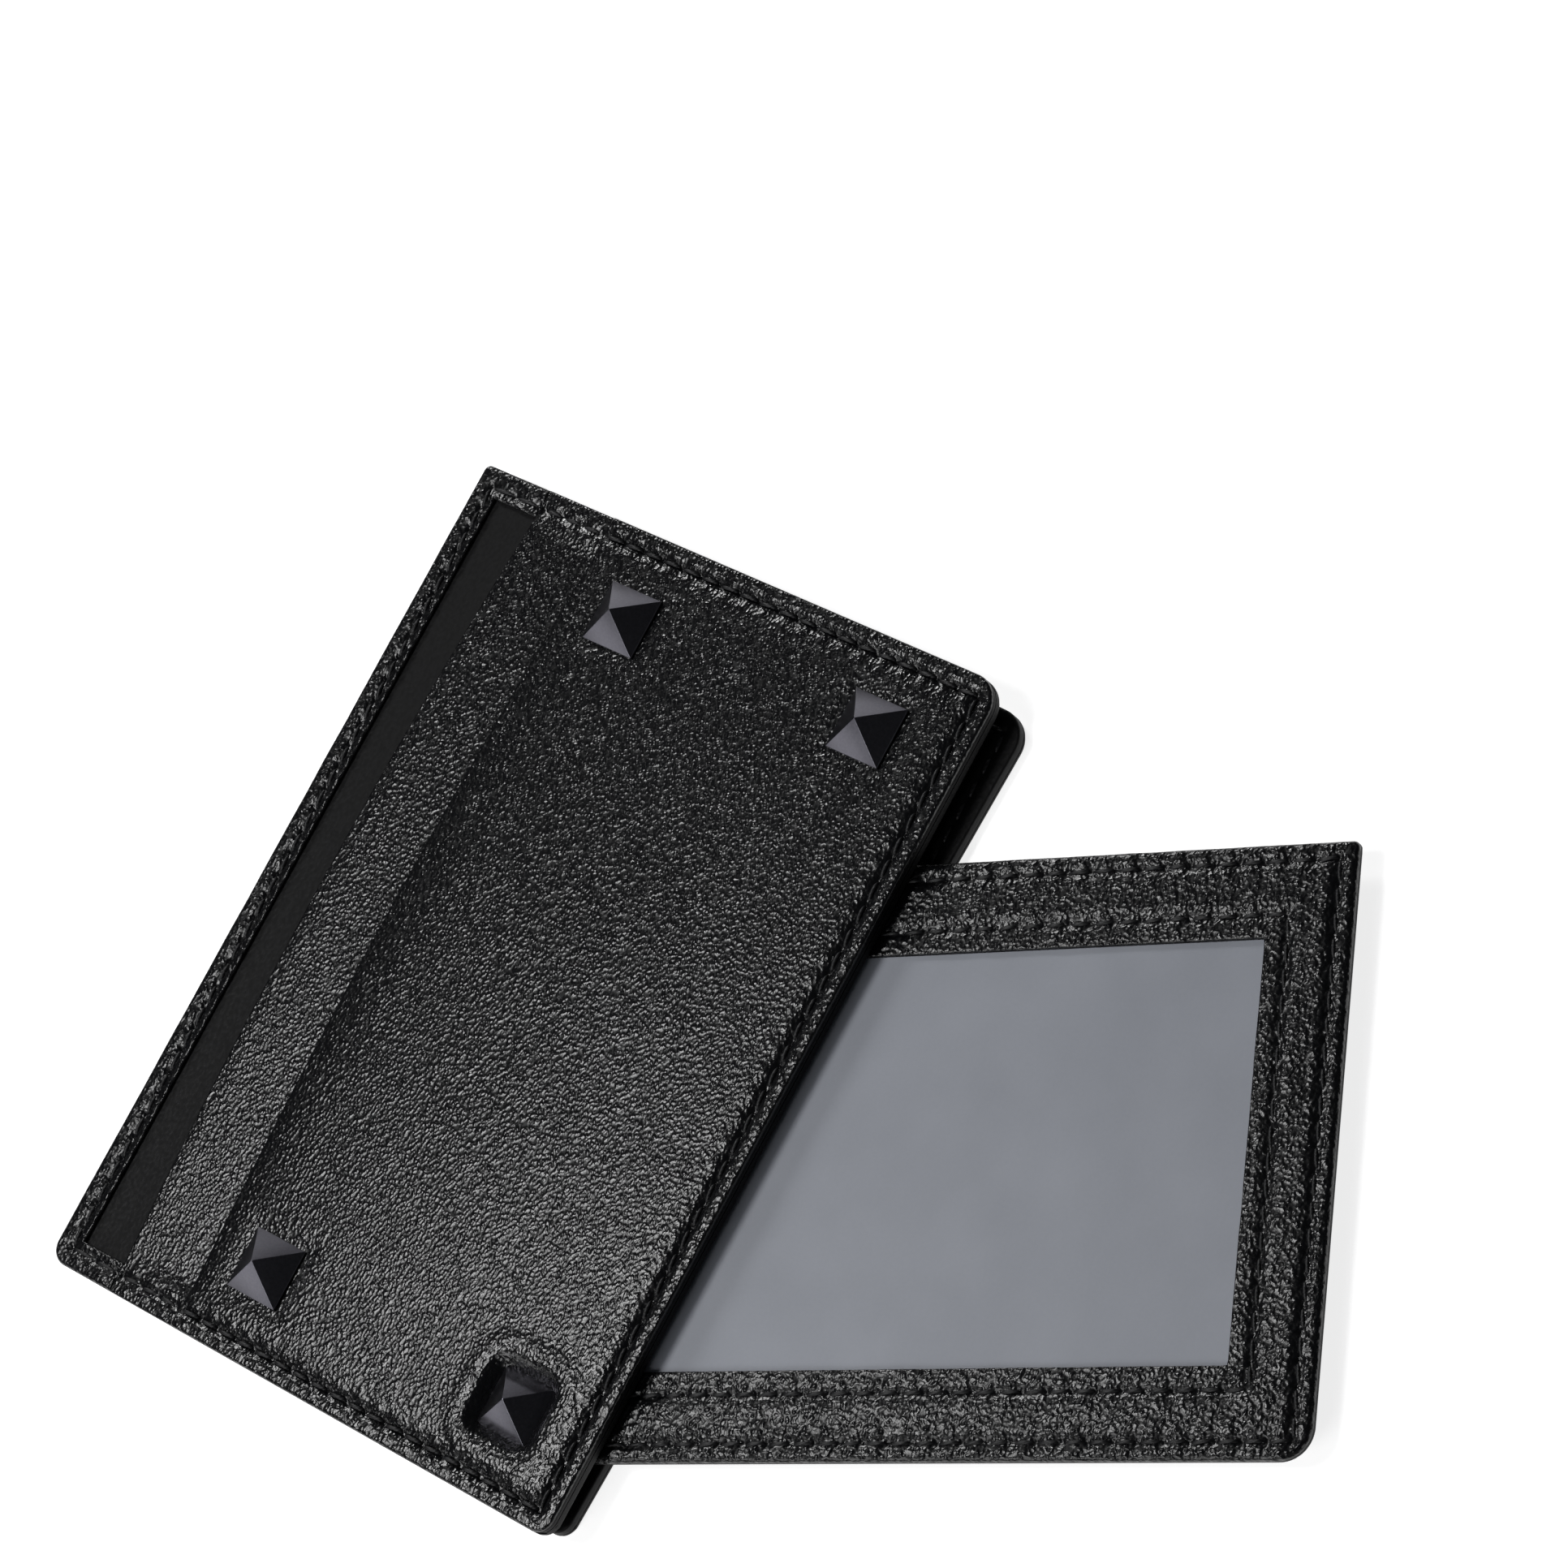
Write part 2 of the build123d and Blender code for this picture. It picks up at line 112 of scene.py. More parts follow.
# %% Distance to a rounded box
CORNER_RADII = (2.0, 3.5, 0.8, 2.2)     # lower left, lower right, upper right, upper left, mm


def edge_distance(x, y, box, radii):
    """Distance in from the outline of a rounded box, negative outside it."""
    cx, cy = (box[0] + box[2]) / 2, (box[1] + box[3]) / 2
    r = np.where(x < cx, np.where(y < cy, radii[0], radii[3]), np.where(y < cy, radii[1], radii[2]))
    qx = np.abs(x - cx) - (box[2] - box[0]) / 2 + r
    qy = np.abs(y - cy) - (box[3] - box[1]) / 2 + r
    outside = np.hypot(np.maximum(qx, 0), np.maximum(qy, 0))
    return -(outside + np.minimum(np.maximum(qx, qy), 0) - r)


def rolled(d, radius):
    """Drop of a surface that rolls over a quarter circle at its edge, d in from that edge."""
    t = np.clip(1 - d / radius, 0, 1)
    return radius * (1 - np.sqrt(np.maximum(1 - t * t, 0)))


def smooth(t):
    """A soft step from 0 to 1."""
    t = np.clip(t, 0, 1)
    return t * t * (3 - 2 * t)


def waviness(x, y, size, seed):
    """Soft random hills between -1 and 1, about size mm apart, the same on every run."""
    lattice = np.random.default_rng(seed).uniform(-1, 1, (64, 64))
    u, v = x / size + 31.3, y / size + 29.7
    i, j = np.floor(u).astype(int), np.floor(v).astype(int)
    fu, fv = smooth(u - i), smooth(v - j)
    i, j = i % 63, j % 63
    low = lattice[i, j] * (1 - fu) + lattice[i + 1, j] * fu
    high = lattice[i, j + 1] * (1 - fu) + lattice[i + 1, j + 1] * fu
    return low * (1 - fv) + high * fv


# %% [markdown]
# A sheet of leather is modelled as a grid over its outline. The grid lines crowd together where the shape
# turns quickly, at edges and along seams, and are wide apart on the flats. Moving the top points up and down
# gives the rolled edges, puckers and dents in real geometry, and the sides and back close the sheet.

# %% Grid lines
EDGE_LINES = (0.0, 0.02, 0.07, 0.15, 0.3, 0.5)     # distances in from an edge, mm
CLOSEST_EDGE_LINES = 0.015
CLOSEST_LINES = 0.1


def grid_lines(low, high, step, close=(), fine=()):
    """Grid lines from low to high: every step mm, crowded at both ends and at the places in close."""
    lines = list(np.linspace(low, high, max(int(round((high - low) / step)), 1) + 1)[1:-1])
    for start, end, spacing in fine:
        lines = [v for v in lines if not start <= v <= end]
        count = max(int(round((end - start) / spacing)), 1)
        lines += list(np.linspace(start, end, count + 1))
    must = [low + e for e in EDGE_LINES] + [high - e for e in EDGE_LINES]
    for spot in close:
        must += [spot + e * side for e in EDGE_LINES for side in (-1, 1)]
    must = sorted(set(round(v, 4) for v in must if low <= v <= high))
    must = [v for k, v in enumerate(must) if k == 0 or v - must[k - 1] > CLOSEST_EDGE_LINES]
    lines = [v for v in lines if low < v < high and min(abs(v - m) for m in must) > CLOSEST_LINES]
    return np.array(sorted(must + lines))


def round_corners(x, y, box, radii):
    """Grid points of a square-cornered box moved so that its corners become round."""
    for (cx, cy, sx, sy), r in zip(
        ((box[0], box[1], -1, -1), (box[2], box[1], 1, -1), (box[2], box[3], 1, 1), (box[0], box[3], -1, 1)),
        radii,
    ):
        mx, my = cx - sx * r, cy - sy * r
        a, b = (x - mx) * sx / r, (y - my) * sy / r
        inside = (a > 0) & (b > 0)
        x = np.where(inside, mx + sx * r * a * np.sqrt(np.clip(1 - b * b / 2, 0, 1)), x)
        y = np.where(inside, my + sy * r * b * np.sqrt(np.clip(1 - np.clip(a, 0, 1) ** 2 / 2, 0, 1)), y)
    return x, y


# %% [markdown]
# Every piece goes through one function, which turns it from the plan into the row frame, lets it ride on its
# leaf and hides the CAD nodes that it takes the place of. The sheet builder adds walls where its grid ends, at
# the outline and round each hole. The walls are the cut edges of the leather, which get their own paint.

# %% Mesh piece
def new_piece(name, points, faces, leaf, replaces=(), sharp=40):
    """Mesh piece from plan points in mm, shaded smooth, riding on its leaf."""
    co = turned(np.asarray(points, float), LEAVES[leaf])
    co[:, :2] += rivet
    mesh = bpy.data.meshes.new(name)
    mesh.from_pydata((co * MM).tolist(), [], faces)
    mesh.validate()
    mesh.shade_smooth()
    mesh.set_sharp_from_angle(angle=math.radians(sharp))
    piece = bpy.data.objects.new(name, mesh)
    bpy.context.scene.collection.objects.link(piece)
    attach(piece, leaf)
    if replaces:
        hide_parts(*replaces)
    print(name, len(mesh.polygons), "faces")
    return piece


# %% Sheet builder
def sheet(name, lines_x, lines_y, shape, face, back, leaf, replaces=(), keep=None, down=False):
    """Closed sheet: a detailed face over a grid and a plain back. With down, the detailed face is below."""
    gx, gy = np.meshgrid(lines_x, lines_y, indexing="ij")
    mid_x = (lines_x[:-1] + lines_x[1:])[:, None] / 2 + 0 * lines_y[None, :-1]
    mid_y = (lines_y[:-1] + lines_y[1:])[None, :] / 2 + 0 * lines_x[:-1, None]
    cells = np.ones(mid_x.shape, bool) if keep is None else keep(mid_x, mid_y)
    x, y = shape(gx, gy)
    z_face = face(x, y)
    z_back = back(x, y) if callable(back) else np.full_like(x, back)
    count = gx.size
    ids = np.arange(count).reshape(gx.shape)
    a, b, c, d = ids[:-1, :-1], ids[1:, :-1], ids[1:, 1:], ids[:-1, 1:]
    quads = np.stack([a[cells], b[cells], c[cells], d[cells]], 1)
    ringed = np.pad(cells, 1)
    walls = []
    for start, end, neighbour in (
        (a, b, ringed[1:-1, :-2]),
        (b, c, ringed[2:, 1:-1]),
        (c, d, ringed[1:-1, 2:]),
        (d, a, ringed[:-2, 1:-1]),
    ):
        edge = cells & ~neighbour
        s, e = start[edge], end[edge]
        walls.append(np.stack([e, s, s + count, e + count], 1))
    faces = np.concatenate([quads, quads[:, ::-1] + count, *walls])
    if down:
        faces = faces[:, ::-1]
    points = np.concatenate([np.stack([x, y, z], -1).reshape(-1, 3) for z in (z_face, z_back)])
    used = np.unique(faces)
    renumber = np.zeros(len(points), int)
    renumber[used] = np.arange(len(used))
    piece = new_piece(name, points[used], renumber[faces].tolist(), leaf, replaces)
    material_index = np.zeros(len(faces), np.int32)
    material_index[2 * len(quads):] = 1
    piece.data.polygons.foreach_set("material_index", material_index)
    return piece


# %% [markdown]
# The seams are sewn by machine with black thread, about 2.7 mm a stitch. A stitch is a short thread that rises
# out of one hole and dives into the next. The pull of the thread draws the leather down in a valley, pinches
# it at every hole, and lets it puff up in small beads beside the stitches.

# %% Seam lines
STITCH_PITCH = 2.7     # mm
SEAM = 2.2             # seam in from an outer leaf's edge, mm


def ring(box, inset):
    """The four straight seam lines inside a box."""
    l, b, r, t = box[0] + inset, box[1] + inset, box[2] - inset, box[3] - inset
    return [(l, b, r, b), (r, b, r, t), (r, t, l, t), (l, t, l, b)]


def spread(length):
    """Number of stitches on a seam line and their exact pitch."""
    count = max(int(length / STITCH_PITCH), 1)
    return count, length / count


def seam_relief(x, y, lines, depth=0.16, hole=0.34, bead=0.11):
    """How far the leather is drawn down (-) or puffed up (+) by the stitches of these seam lines."""
    drop = np.zeros_like(x)
    puff = np.zeros_like(x)
    for x1, y1, x2, y2 in lines:
        length = math.hypot(x2 - x1, y2 - y1)
        ux, uy = (x2 - x1) / length, (y2 - y1) / length
        s = (x - x1) * ux + (y - y1) * uy
        t = (y - y1) * ux - (x - x1) * uy
        along = smooth((s + 0.6) / 0.6) * smooth((length - s + 0.6) / 0.6)
        count, pitch = spread(length)
        phase = s / pitch
        to_hole = np.abs(phase - np.round(phase)) * pitch
        valley = depth * np.exp(-((t / 0.6) ** 2))
        pinch = hole * np.exp(-((to_hole / 0.42) ** 2) - (t / 0.34) ** 2)
        drop = np.maximum(drop, (valley + pinch) * along)
        beads = -np.cos(2 * math.pi * phase) * np.exp(-(((np.abs(t) - 0.95) / 0.55) ** 2))
        puff = np.maximum(puff, bead * beads * along)
    return puff - drop


# %% [markdown]
# All the stitches of a seam are one mesh. A single stitch is a flattened tube of nine rings with its ends bent
# down into the holes, and it is repeated along the seam with a slight slant and small changes of angle and
# length, as a machine leaves them.

# %% Stitches
RINGS, RING_POINTS = 9, 8
STITCH_HALF, STITCH_WIDTH, STITCH_HEIGHT = 1.08, 0.21, 0.15     # half length and half sections, mm
STITCH_SLANT = 5                                                # degrees


def stitch_template():
    """Points and faces of one stitch along x, in mm."""
    u = np.linspace(-1, 1, RINGS)
    around = np.arange(RING_POINTS) / RING_POINTS * 2 * math.pi
    rise = 0.07 - 0.34 * np.abs(u) ** 2.6
    wide = STITCH_WIDTH * (1 - 0.35 * np.abs(u) ** 4)
    tall = STITCH_HEIGHT * (1 - 0.3 * np.abs(u) ** 4)
    along = np.repeat(u[:, None] * STITCH_HALF, RING_POINTS, 1)
    across = wide[:, None] * np.cos(around)
    height = rise[:, None] + tall[:, None] * np.sin(around)
    faces = []
    for i in range(RINGS - 1):
        for j in range(RING_POINTS):
            low, high = i * RING_POINTS, (i + 1) * RING_POINTS
            k = (j + 1) % RING_POINTS
            faces.append([low + j, low + k, high + k, high + j])
    faces.append(list(range(RING_POINTS - 1, -1, -1)))
    faces.append(list(range((RINGS - 1) * RING_POINTS, RINGS * RING_POINTS)))
    return np.stack([along, across, height], -1).reshape(-1, 3), faces


def stitches(name, rows, leaf, replaces=(), down=False):
    """Separate thread stitches. Each row is a list of seam lines and the height of the leather there, mm."""
    template, template_faces = stitch_template()
    if down:
        template_faces = [face[::-1] for face in template_faces]
    points, faces = [], []
    for lines, height in rows:
        for x1, y1, x2, y2 in lines:
            length = math.hypot(x2 - x1, y2 - y1)
            direction = math.atan2(y2 - y1, x2 - x1)
            count, pitch = spread(length)
            for k in range(count):
                share = (k + 0.5) / count
                tilt = direction + math.radians(STITCH_SLANT + rng.uniform(-3, 3))
                stitch = template.copy()
                stitch[:, 0] *= pitch / STITCH_PITCH * (1 + rng.uniform(-0.04, 0.04))
                stitch[:, 2] *= -1 if down else 1
                stitch = turned(stitch, math.degrees(tilt))
                stitch += [x1 + (x2 - x1) * share, y1 + (y2 - y1) * share, height]
                base = len(points) * len(template)
                faces += [[base + v for v in face] for face in template_faces]
                points.append(stitch)
    return new_piece(name, np.concatenate(points), faces, leaf, replaces, sharp=60)


# %% [markdown]
# The studded leaf's top layer is the front card pocket. Its leather is stretched over the edges of the board,
# so it falls away just inside the seam. It dips into a square pit round the rivet's stud, which is pinned down
# to the board, and it has small dents under the other studs. The mouth of the pocket bows up a little.

# %% Measures of the studded leaf
FRONT = "front_leaf"
pocket = plan_box("front_studded_pocket", FRONT)
second = plan_box("front_second_pocket", FRONT)
border = plan_box("front_slot_border", FRONT)
slot_panel = plan_box("front_slot_panel", FRONT)
lining = plan_box("front_lining", FRONT)
stud_box = plan_box("corner_studs", FRONT)
POCKET_BOW, SECOND_BOW = 1.3, 1.6                # rise of the bowed mouths, mm
BORDER_WIDTH = 3.4
STUD, STUD_HEIGHT = 7.1, 3.25
PIT_BOX, PIT_RADIUS = (-4.9, -4.9, 4.9, 4.9), 2.6
pocket_edge = pocket[3] - POCKET_BOW
second_edge = second[3] - SECOND_BOW
far_x = stud_box[2] - STUD / 2
low_y, high_y = stud_box[1] + STUD / 2, stud_box[3] - STUD / 2
studs = [(0.0, high_y), (far_x, high_y), (far_x, low_y)]
stud_seat = rivet_high[2] / MM - STUD_HEIGHT
print("pocket mouths at", round(pocket_edge, 2), "and", round(second_edge, 2), "mm")
print("studs at", np.round(studs, 1).tolist())

# %% Outline and mouth of a pocket

FAR_ABOVE = 50      # puts a pocket's upper corners out of the way of its rounded foot, mm
BEND_ZONE = 24      # grid lines this far below a mouth bend to follow it, mm


def pocket_mouth(x, box, edge, bow):
    """Height of a pocket's mouth, which bows up between the side borders."""
    t = np.clip((x - box[0] - BORDER_WIDTH) / (box[2] - box[0] - 2 * BORDER_WIDTH), 0, 1)
    return edge + bow * (1 - (2 * t - 1) ** 2)


def bowed(box, edge, bow):
    """Shape of a pocket: rounded foot corners and a bowed mouth."""
    def shape(x, y):
        foot = (box[0], box[1], box[2], box[3] + FAR_ABOVE)
        x, y = round_corners(x, y, foot, CORNER_RADII)
        lift = pocket_mouth(x, box, edge, bow) - box[3]
        return x, y + lift * smooth((y - box[3] + BEND_ZONE) / BEND_ZONE)
    return shape


def foot_distance(x, y, box):
    """Distance in from the sides and the rounded foot of a pocket."""
    return edge_distance(x, y, (box[0], box[1], box[2], 200), CORNER_RADII)


# %% Seams of an outer leaf
STEP_GAP = 0.3      # a seam stops this far short of the step between two layers, mm


def pocket_lines(box):
    """Seam lines on the three sewn sides of a leaf's pocket."""
    left, low, right = box[0] + SEAM, box[1] + SEAM, box[2] - SEAM
    end = pocket_edge - STEP_GAP
    return [(left, end, left, low), (left, low, right, low), (right, low, right, end)]


def border_lines(box):
    """Seam lines on the three sides of a leaf's slot border."""
    left, right, top = box[0] + SEAM, box[2] - SEAM, box[3] - SEAM
    end = second_edge + STEP_GAP
    return [(left, end, left, top), (left, top, right, top), (right, top, right, end)]


def beside(spot, spacing):
    """A stretch of finer grid lines over the seam at a spot."""
    return (spot - 0.8, spot + 0.8, spacing)


pocket_seams, border_seams = pocket_lines(OUTER), border_lines(OUTER)
seam_left, seam_right = OUTER[0] + SEAM, OUTER[2] - SEAM
seam_low, seam_top = OUTER[1] + SEAM, OUTER[3] - SEAM
print("seams at x", round(seam_left, 2), round(seam_right, 2), "and y", round(seam_low, 2), round(seam_top, 2))

# %% Studded pocket
pocket_top = pocket[5]
CROWN = 0.42                          # how far the leather stands up in the middle, mm
MOUTH_DROP, MOUTH_REACH = 0.44, 2.6   # how far it sinks at its mouth, and over what distance
SEAM_DROP = 0.20                      # how far it sinks into the seam
STUD_DENT, DENT_REACH = 0.14, 1.3     # dents round the fixed studs
PIT_RIM = 0.12                        # swelling round the rivet's pit


def pit_depth(x, y):
    """1 on the floor of the square pit round the rivet's stud, 0 outside it."""
    return smooth((edge_distance(x, y, PIT_BOX, (PIT_RADIUS,) * 4) + 0.2) / 2.4)


def studded_face(x, y):
    """Height of the studded pocket's leather."""
    d = foot_distance(x, y, OUTER)
    mouth = pocket_mouth(x, pocket, pocket_edge, POCKET_BOW) - y
    inside = d - SEAM
    across = np.clip((x - OUTER[0]) / (OUTER[2] - OUTER[0]) * 2 - 1, -1, 1)
    up = np.clip((y - OUTER[1]) / (pocket_edge - OUTER[1]) * 2 - 1, -1, 1)
    z = pocket_top + CROWN * (1 - across ** 2) * (1 - 0.8 * up ** 2)
    z += 0.05 * waviness(x, y, 13, 3) * smooth(inside / 5)
    z -= MOUTH_DROP * np.exp(-np.maximum(mouth, 0) / MOUTH_REACH) * smooth((d - 2.4) / 3)
    z -= SEAM_DROP * np.exp(-((inside / np.where(inside > 0, 1.5, 0.7)) ** 2))
    z -= rolled(d, 0.32) + rolled(mouth, 0.42)
    z += seam_relief(x, y, pocket_seams)
    for sx, sy in studs:
        away = np.maximum(np.abs(x - sx), np.abs(y - sy)) - STUD / 2
        z -= STUD_DENT * np.exp(-((np.maximum(away, 0) / DENT_REACH) ** 2))
    rim = np.exp(-((edge_distance(x, y, PIT_BOX, (PIT_RADIUS,) * 4) + 1.2) / 0.9) ** 2)
    pit = pit_depth(x, y)
    return (z + PIT_RIM * rim) * (1 - pit) + (stud_seat + 0.06) * pit


def studded_back(x, y):
    """Underside of the studded pocket, which follows the pit down."""
    return np.minimum(pocket[4], studded_face(x, y) - 0.04)


pit_zone = (-6.4, 6.4, 0.2)
lines_x = grid_lines(pocket[0], pocket[2], 0.42, fine=[pit_zone, beside(seam_left, 0.16), beside(seam_right, 0.16)])
lines_y = grid_lines(pocket[1], pocket[3], 0.42, fine=[pit_zone, beside(seam_low, 0.16)])
sheet("studded_pocket_leather", lines_x, lines_y, bowed(pocket, pocket_edge, POCKET_BOW), studded_face,
      studded_back, FRONT, ["front_studded_pocket"])

# %% [markdown]
# Under it lies the second pocket, of which only a strip shows, and behind that the smooth leather that lines
# the slots. A grained border frames the slots on three sides. Hidden parts of these sheets keep wide grid lines.

# %% Second pocket
second_seams = [(side, pocket_edge + 0.7, side, second_edge - 0.6) for side in (seam_left, seam_right)]
SLACK, SLACK_REACH = 0.42, 9.5        # how far the strip falls towards the studded pocket, mm


def second_face(x, y):
    """Height of the second pocket: slack between its sides, tight at the seams."""
    d = foot_distance(x, y, OUTER)
    mouth = pocket_mouth(x, second, second_edge, SECOND_BOW) - y
    slope = SLACK * np.clip(1 - (y - pocket_edge) / SLACK_REACH, 0, 1) * smooth((d - 2.6) / 3)
    z = second[5] + 0.02 - slope + 0.03 * waviness(x, y, 11, 5) - rolled(d, 0.22) - rolled(mouth, 0.14)
    z += seam_relief(x, y, second_seams, hole=0.2) * (y > pocket_edge - 1)
    hidden = smooth((pocket_edge - 1 - y) / 1.0)
    return np.minimum(z, second[5] + 0.06) * (1 - hidden) + (second[5] - 0.06) * hidden


def outside_pit(x, y):
    """Grid cells outside the square pit round the rivet."""
    return ~((np.abs(x) < PIT_BOX[2]) & (np.abs(y) < PIT_BOX[3]))


def merged(*line_sets):
    """One sorted set of grid lines from several."""
    return np.unique(np.concatenate(line_sets))


pit_lines = [PIT_BOX[0], PIT_BOX[2]]
hidden_lines = np.arange(pocket[1] + 2, pocket_edge - 3, 3.1)
second_y = merged([pocket[1]], pit_lines, hidden_lines, grid_lines(pocket_edge - 2, second[3], 0.36))
side_lines = [beside(seam_left, 0.2), beside(seam_right, 0.2)]
second_x = merged(grid_lines(second[0], second[2], 0.42, fine=side_lines), pit_lines)
sheet("second_pocket_leather", second_x, second_y, bowed(second, second_edge, SECOND_BOW), second_face, second[4],
      FRONT, ["front_second_pocket"], keep=outside_pit)

# %% Slot lining
def outlined(box):
    """Shape of a whole leaf: its box with rounded corners."""
    return lambda x, y: round_corners(x, y, box, CORNER_RADII)


def slot_face(x, y):
    """Height of the smooth leather in the slots, which bellies down a little."""
    d = edge_distance(x, y, OUTER, CORNER_RADII)
    belly = smooth((d - 3.2) / 4) * smooth((y - second_edge + 8) / 6)
    return slot_panel[5] - 0.02 - 0.12 * belly - rolled(d, 0.12)


outer_shape = outlined(OUTER)
slot_y = merged([OUTER[1]], pit_lines, hidden_lines, grid_lines(second_edge - 2, OUTER[3], 0.8))
slot_x = merged(grid_lines(OUTER[0], OUTER[2], 0.9), pit_lines)
sheet("slot_lining_leather", slot_x, slot_y, outer_shape, slot_face, slot_panel[4], FRONT,
      ["front_slot_panel"], keep=outside_pit)

# %% Slot border
def into_border(x, y, box):
    """Distance from a slot border's inner edge into its leather, on whichever side is nearest."""
    ends = np.maximum(box[0] + BORDER_WIDTH - x, x - (box[2] - BORDER_WIDTH))
    return np.maximum(y - (box[3] - BORDER_WIDTH), ends)


def border_lines_across(box, step):
    """Grid lines across and up a slot border, crowded at its inner edges."""
    across = grid_lines(box[0], box[2], step[0], close=[box[0] + BORDER_WIDTH, box[2] - BORDER_WIDTH])
    return across, grid_lines(border[1], box[3], step[1], close=[box[3] - BORDER_WIDTH])


def border_face(x, y):
    """Height of the slot border's leather."""
    z = border[5] - 0.05 + 0.05 * waviness(x, y, 4.5, 8)
    z -= rolled(edge_distance(x, y, OUTER, CORNER_RADII), 0.38)
    z -= rolled(into_border(x, y, OUTER), 0.2) + rolled(y - border[1], 0.15)
    return z + seam_relief(x, y, border_seams, depth=0.16, hole=0.34, bead=0.12)


border_x, border_y = border_lines_across(OUTER, (0.34, 0.3))
sheet("slot_border_leather", border_x, border_y, outer_shape, border_face, border[4],
      FRONT, ["front_slot_border"], keep=lambda x, y: into_border(x, y, OUTER) > 0)

# %% [markdown]
# The leaf's plain side is a smooth lining glued over the board. The lining meets the board in the middle and
# the next leather round the rim, where a single ring of stitches goes through the whole leaf.

# %% Lining and stitches of the studded leaf
ring_seams = ring(OUTER, SEAM)
STITCH_BED = 0.16      # stitches lie this far into grained leather, mm
LINING_BED = 0.17      # and this far into the lining


def plain_face(level, sign, box, seams, edge=0.25):
    """Height of a leaf's plain face, with rolled edges and a sewn groove; sign is -1 for a face below."""
    def face(x, y):
        d = edge_distance(x, y, box, CORNER_RADII)
        relief = -rolled(d, edge) + np.minimum(seam_relief(x, y, seams, depth=0.16, hole=0.16, bead=0.0), 0)
        return level + sign * relief
    return face


def over_board(box, board_level, rim_level):
    """Back of a lining: it meets the board in the middle and reaches the next layer round the rim."""
    def back(x, y):
        d = edge_distance(x, y, box, (2.0,) * 4)
        return np.where(d > -0.2, board_level, rim_level)
    return back


def around_hole(radius):
    """Grid cells outside a round hole on the rivet axis."""
    return lambda x, y: x * x + y * y > radius ** 2


board_box = plan_box("front_board", FRONT)
plain_x = grid_lines(OUTER[0], OUTER[2], 0.6, fine=side_lines)
plain_y = grid_lines(OUTER[1], OUTER[3], 0.6, fine=[beside(seam_low, 0.2), beside(seam_top, 0.2)])
sheet("studded_leaf_lining", plain_x, plain_y, outer_shape, plain_face(lining[4], -1, OUTER, ring_seams),
      over_board(board_box, board_box[4], lining[5]), FRONT, ["front_lining"], down=True,
      keep=around_hole(1.6))
front_rows = [
    (pocket_seams, pocket_top - STITCH_BED),
    (second_seams, second[5] - 0.12),
    (border_seams, border[5] - STITCH_BED),
]
stitches("studded_leaf_stitches", front_rows, FRONT, ["front_seam_thread"])
stitches("studded_lining_stitches", [(ring_seams, lining[4] + LINING_BED)], FRONT, down=True)

# %% [markdown]
# The studs are small die-struck pyramids. Their faces are flat and their edges crisp, so only a tiny bevel is
# needed for the light to run along each arris. The rivet's stud has a post that goes through all three leaves.

# %% Studs
SKIRT, TIP, BEVEL = 0.3, 0.15, 0.07     # skirt height, width of the flat tip, rounding of the edges, mm
POST_RADIUS, POST_OVERLAP = 1.4, 0.1


def pyramid_points(cx, cy, seat):
    """Corner points of a pyramid stud: a skirt, four faces and a small flat tip."""
    points = []
    for half, z in ((STUD / 2, seat), (STUD / 2, seat + SKIRT), (TIP / 2, seat + STUD_HEIGHT)):
        points += [(cx + sx * half, cy + sy * half, z) for sx, sy in ((-1, -1), (1, -1), (1, 1), (-1, 1))]
    return points


def pyramids(name, spots, seat, replaces, post_bottom=None):
    """Bevelled pyramid studs in one mesh, with the rivet's post under them where its bottom is given."""
    build = bmesh.new()
    for cx, cy in spots:
        corner = [build.verts.new(p) for p in pyramid_points(cx, cy, seat)]
        build.faces.new(corner[3::-1])
        build.faces.new(corner[8:12])
        for low in (0, 4):
            for k in range(4):
                n = (k + 1) % 4
                build.faces.new([corner[low + k], corner[low + n], corner[low + 4 + n], corner[low + 4 + k]])
    long_edges = [e for e in build.edges if e.calc_length() > TIP + 0.05]
    bmesh.ops.bevel(build, geom=long_edges, offset=BEVEL, segments=2, profile=0.5, affect="EDGES", clamp_overlap=True)
    if post_bottom is not None:
        top = seat + POST_OVERLAP
        post = bmesh.ops.create_cone(build, cap_ends=True, segments=48, radius1=POST_RADIUS, radius2=POST_RADIUS,
                                     depth=top - post_bottom)
        bmesh.ops.translate(build, verts=post["verts"], vec=(0, 0, (top + post_bottom) / 2))
    build.verts.ensure_lookup_table()
    points = [tuple(v.co) for v in build.verts]
    faces = [[v.index for v in f.verts] for f in build.faces]
    build.free()
    return new_piece(name, points, faces, FRONT, replaces, sharp=25)


pyramids("corner_stud_heads", studs, stud_box[5] - STUD_HEIGHT, ["corner_studs"])
pyramids("rivet_stud", [(0.0, 0.0)], stud_seat, ["pivot_stud"], post_bottom=rivet_low[2] / MM)

# %% [markdown]
# The window leaf is a leather frame over a frosted film. Its leather has a coarser, crumpled grain that stands
# up between the seams. Two rows of stitching run round it: one near the outside and one beside the window.

# %% Measures of the window leaf
MIDDLE = "window_leaf"
FILM_OVERLAP = 3.2                      # film held under the leather on each side, mm
WINDOW_SEAM, INNER_SEAM = 1.9, 2.5      # outer seam in from the edge, inner seam out from the window
RIM_SIDE, RIM_END, BOSS = 1.9, 3.0, 2.3      # solid leather round the card space
BUSHING_HOLE = 2.15
film_box = plan_box("window_film", MIDDLE)
panel_box = plan_box("window_back_panel", MIDDLE)
opening = tuple(film_box[k] + (FILM_OVERLAP if k < 2 else -FILM_OVERLAP) for k in range(4))
window_seams = ring(WINDOW, WINDOW_SEAM)[:3]
inner_seams = ring(opening, -INNER_SEAM)
print("window from", np.round(opening[:2], 2), "to", np.round(opening[2:], 2))

# %% Window frame


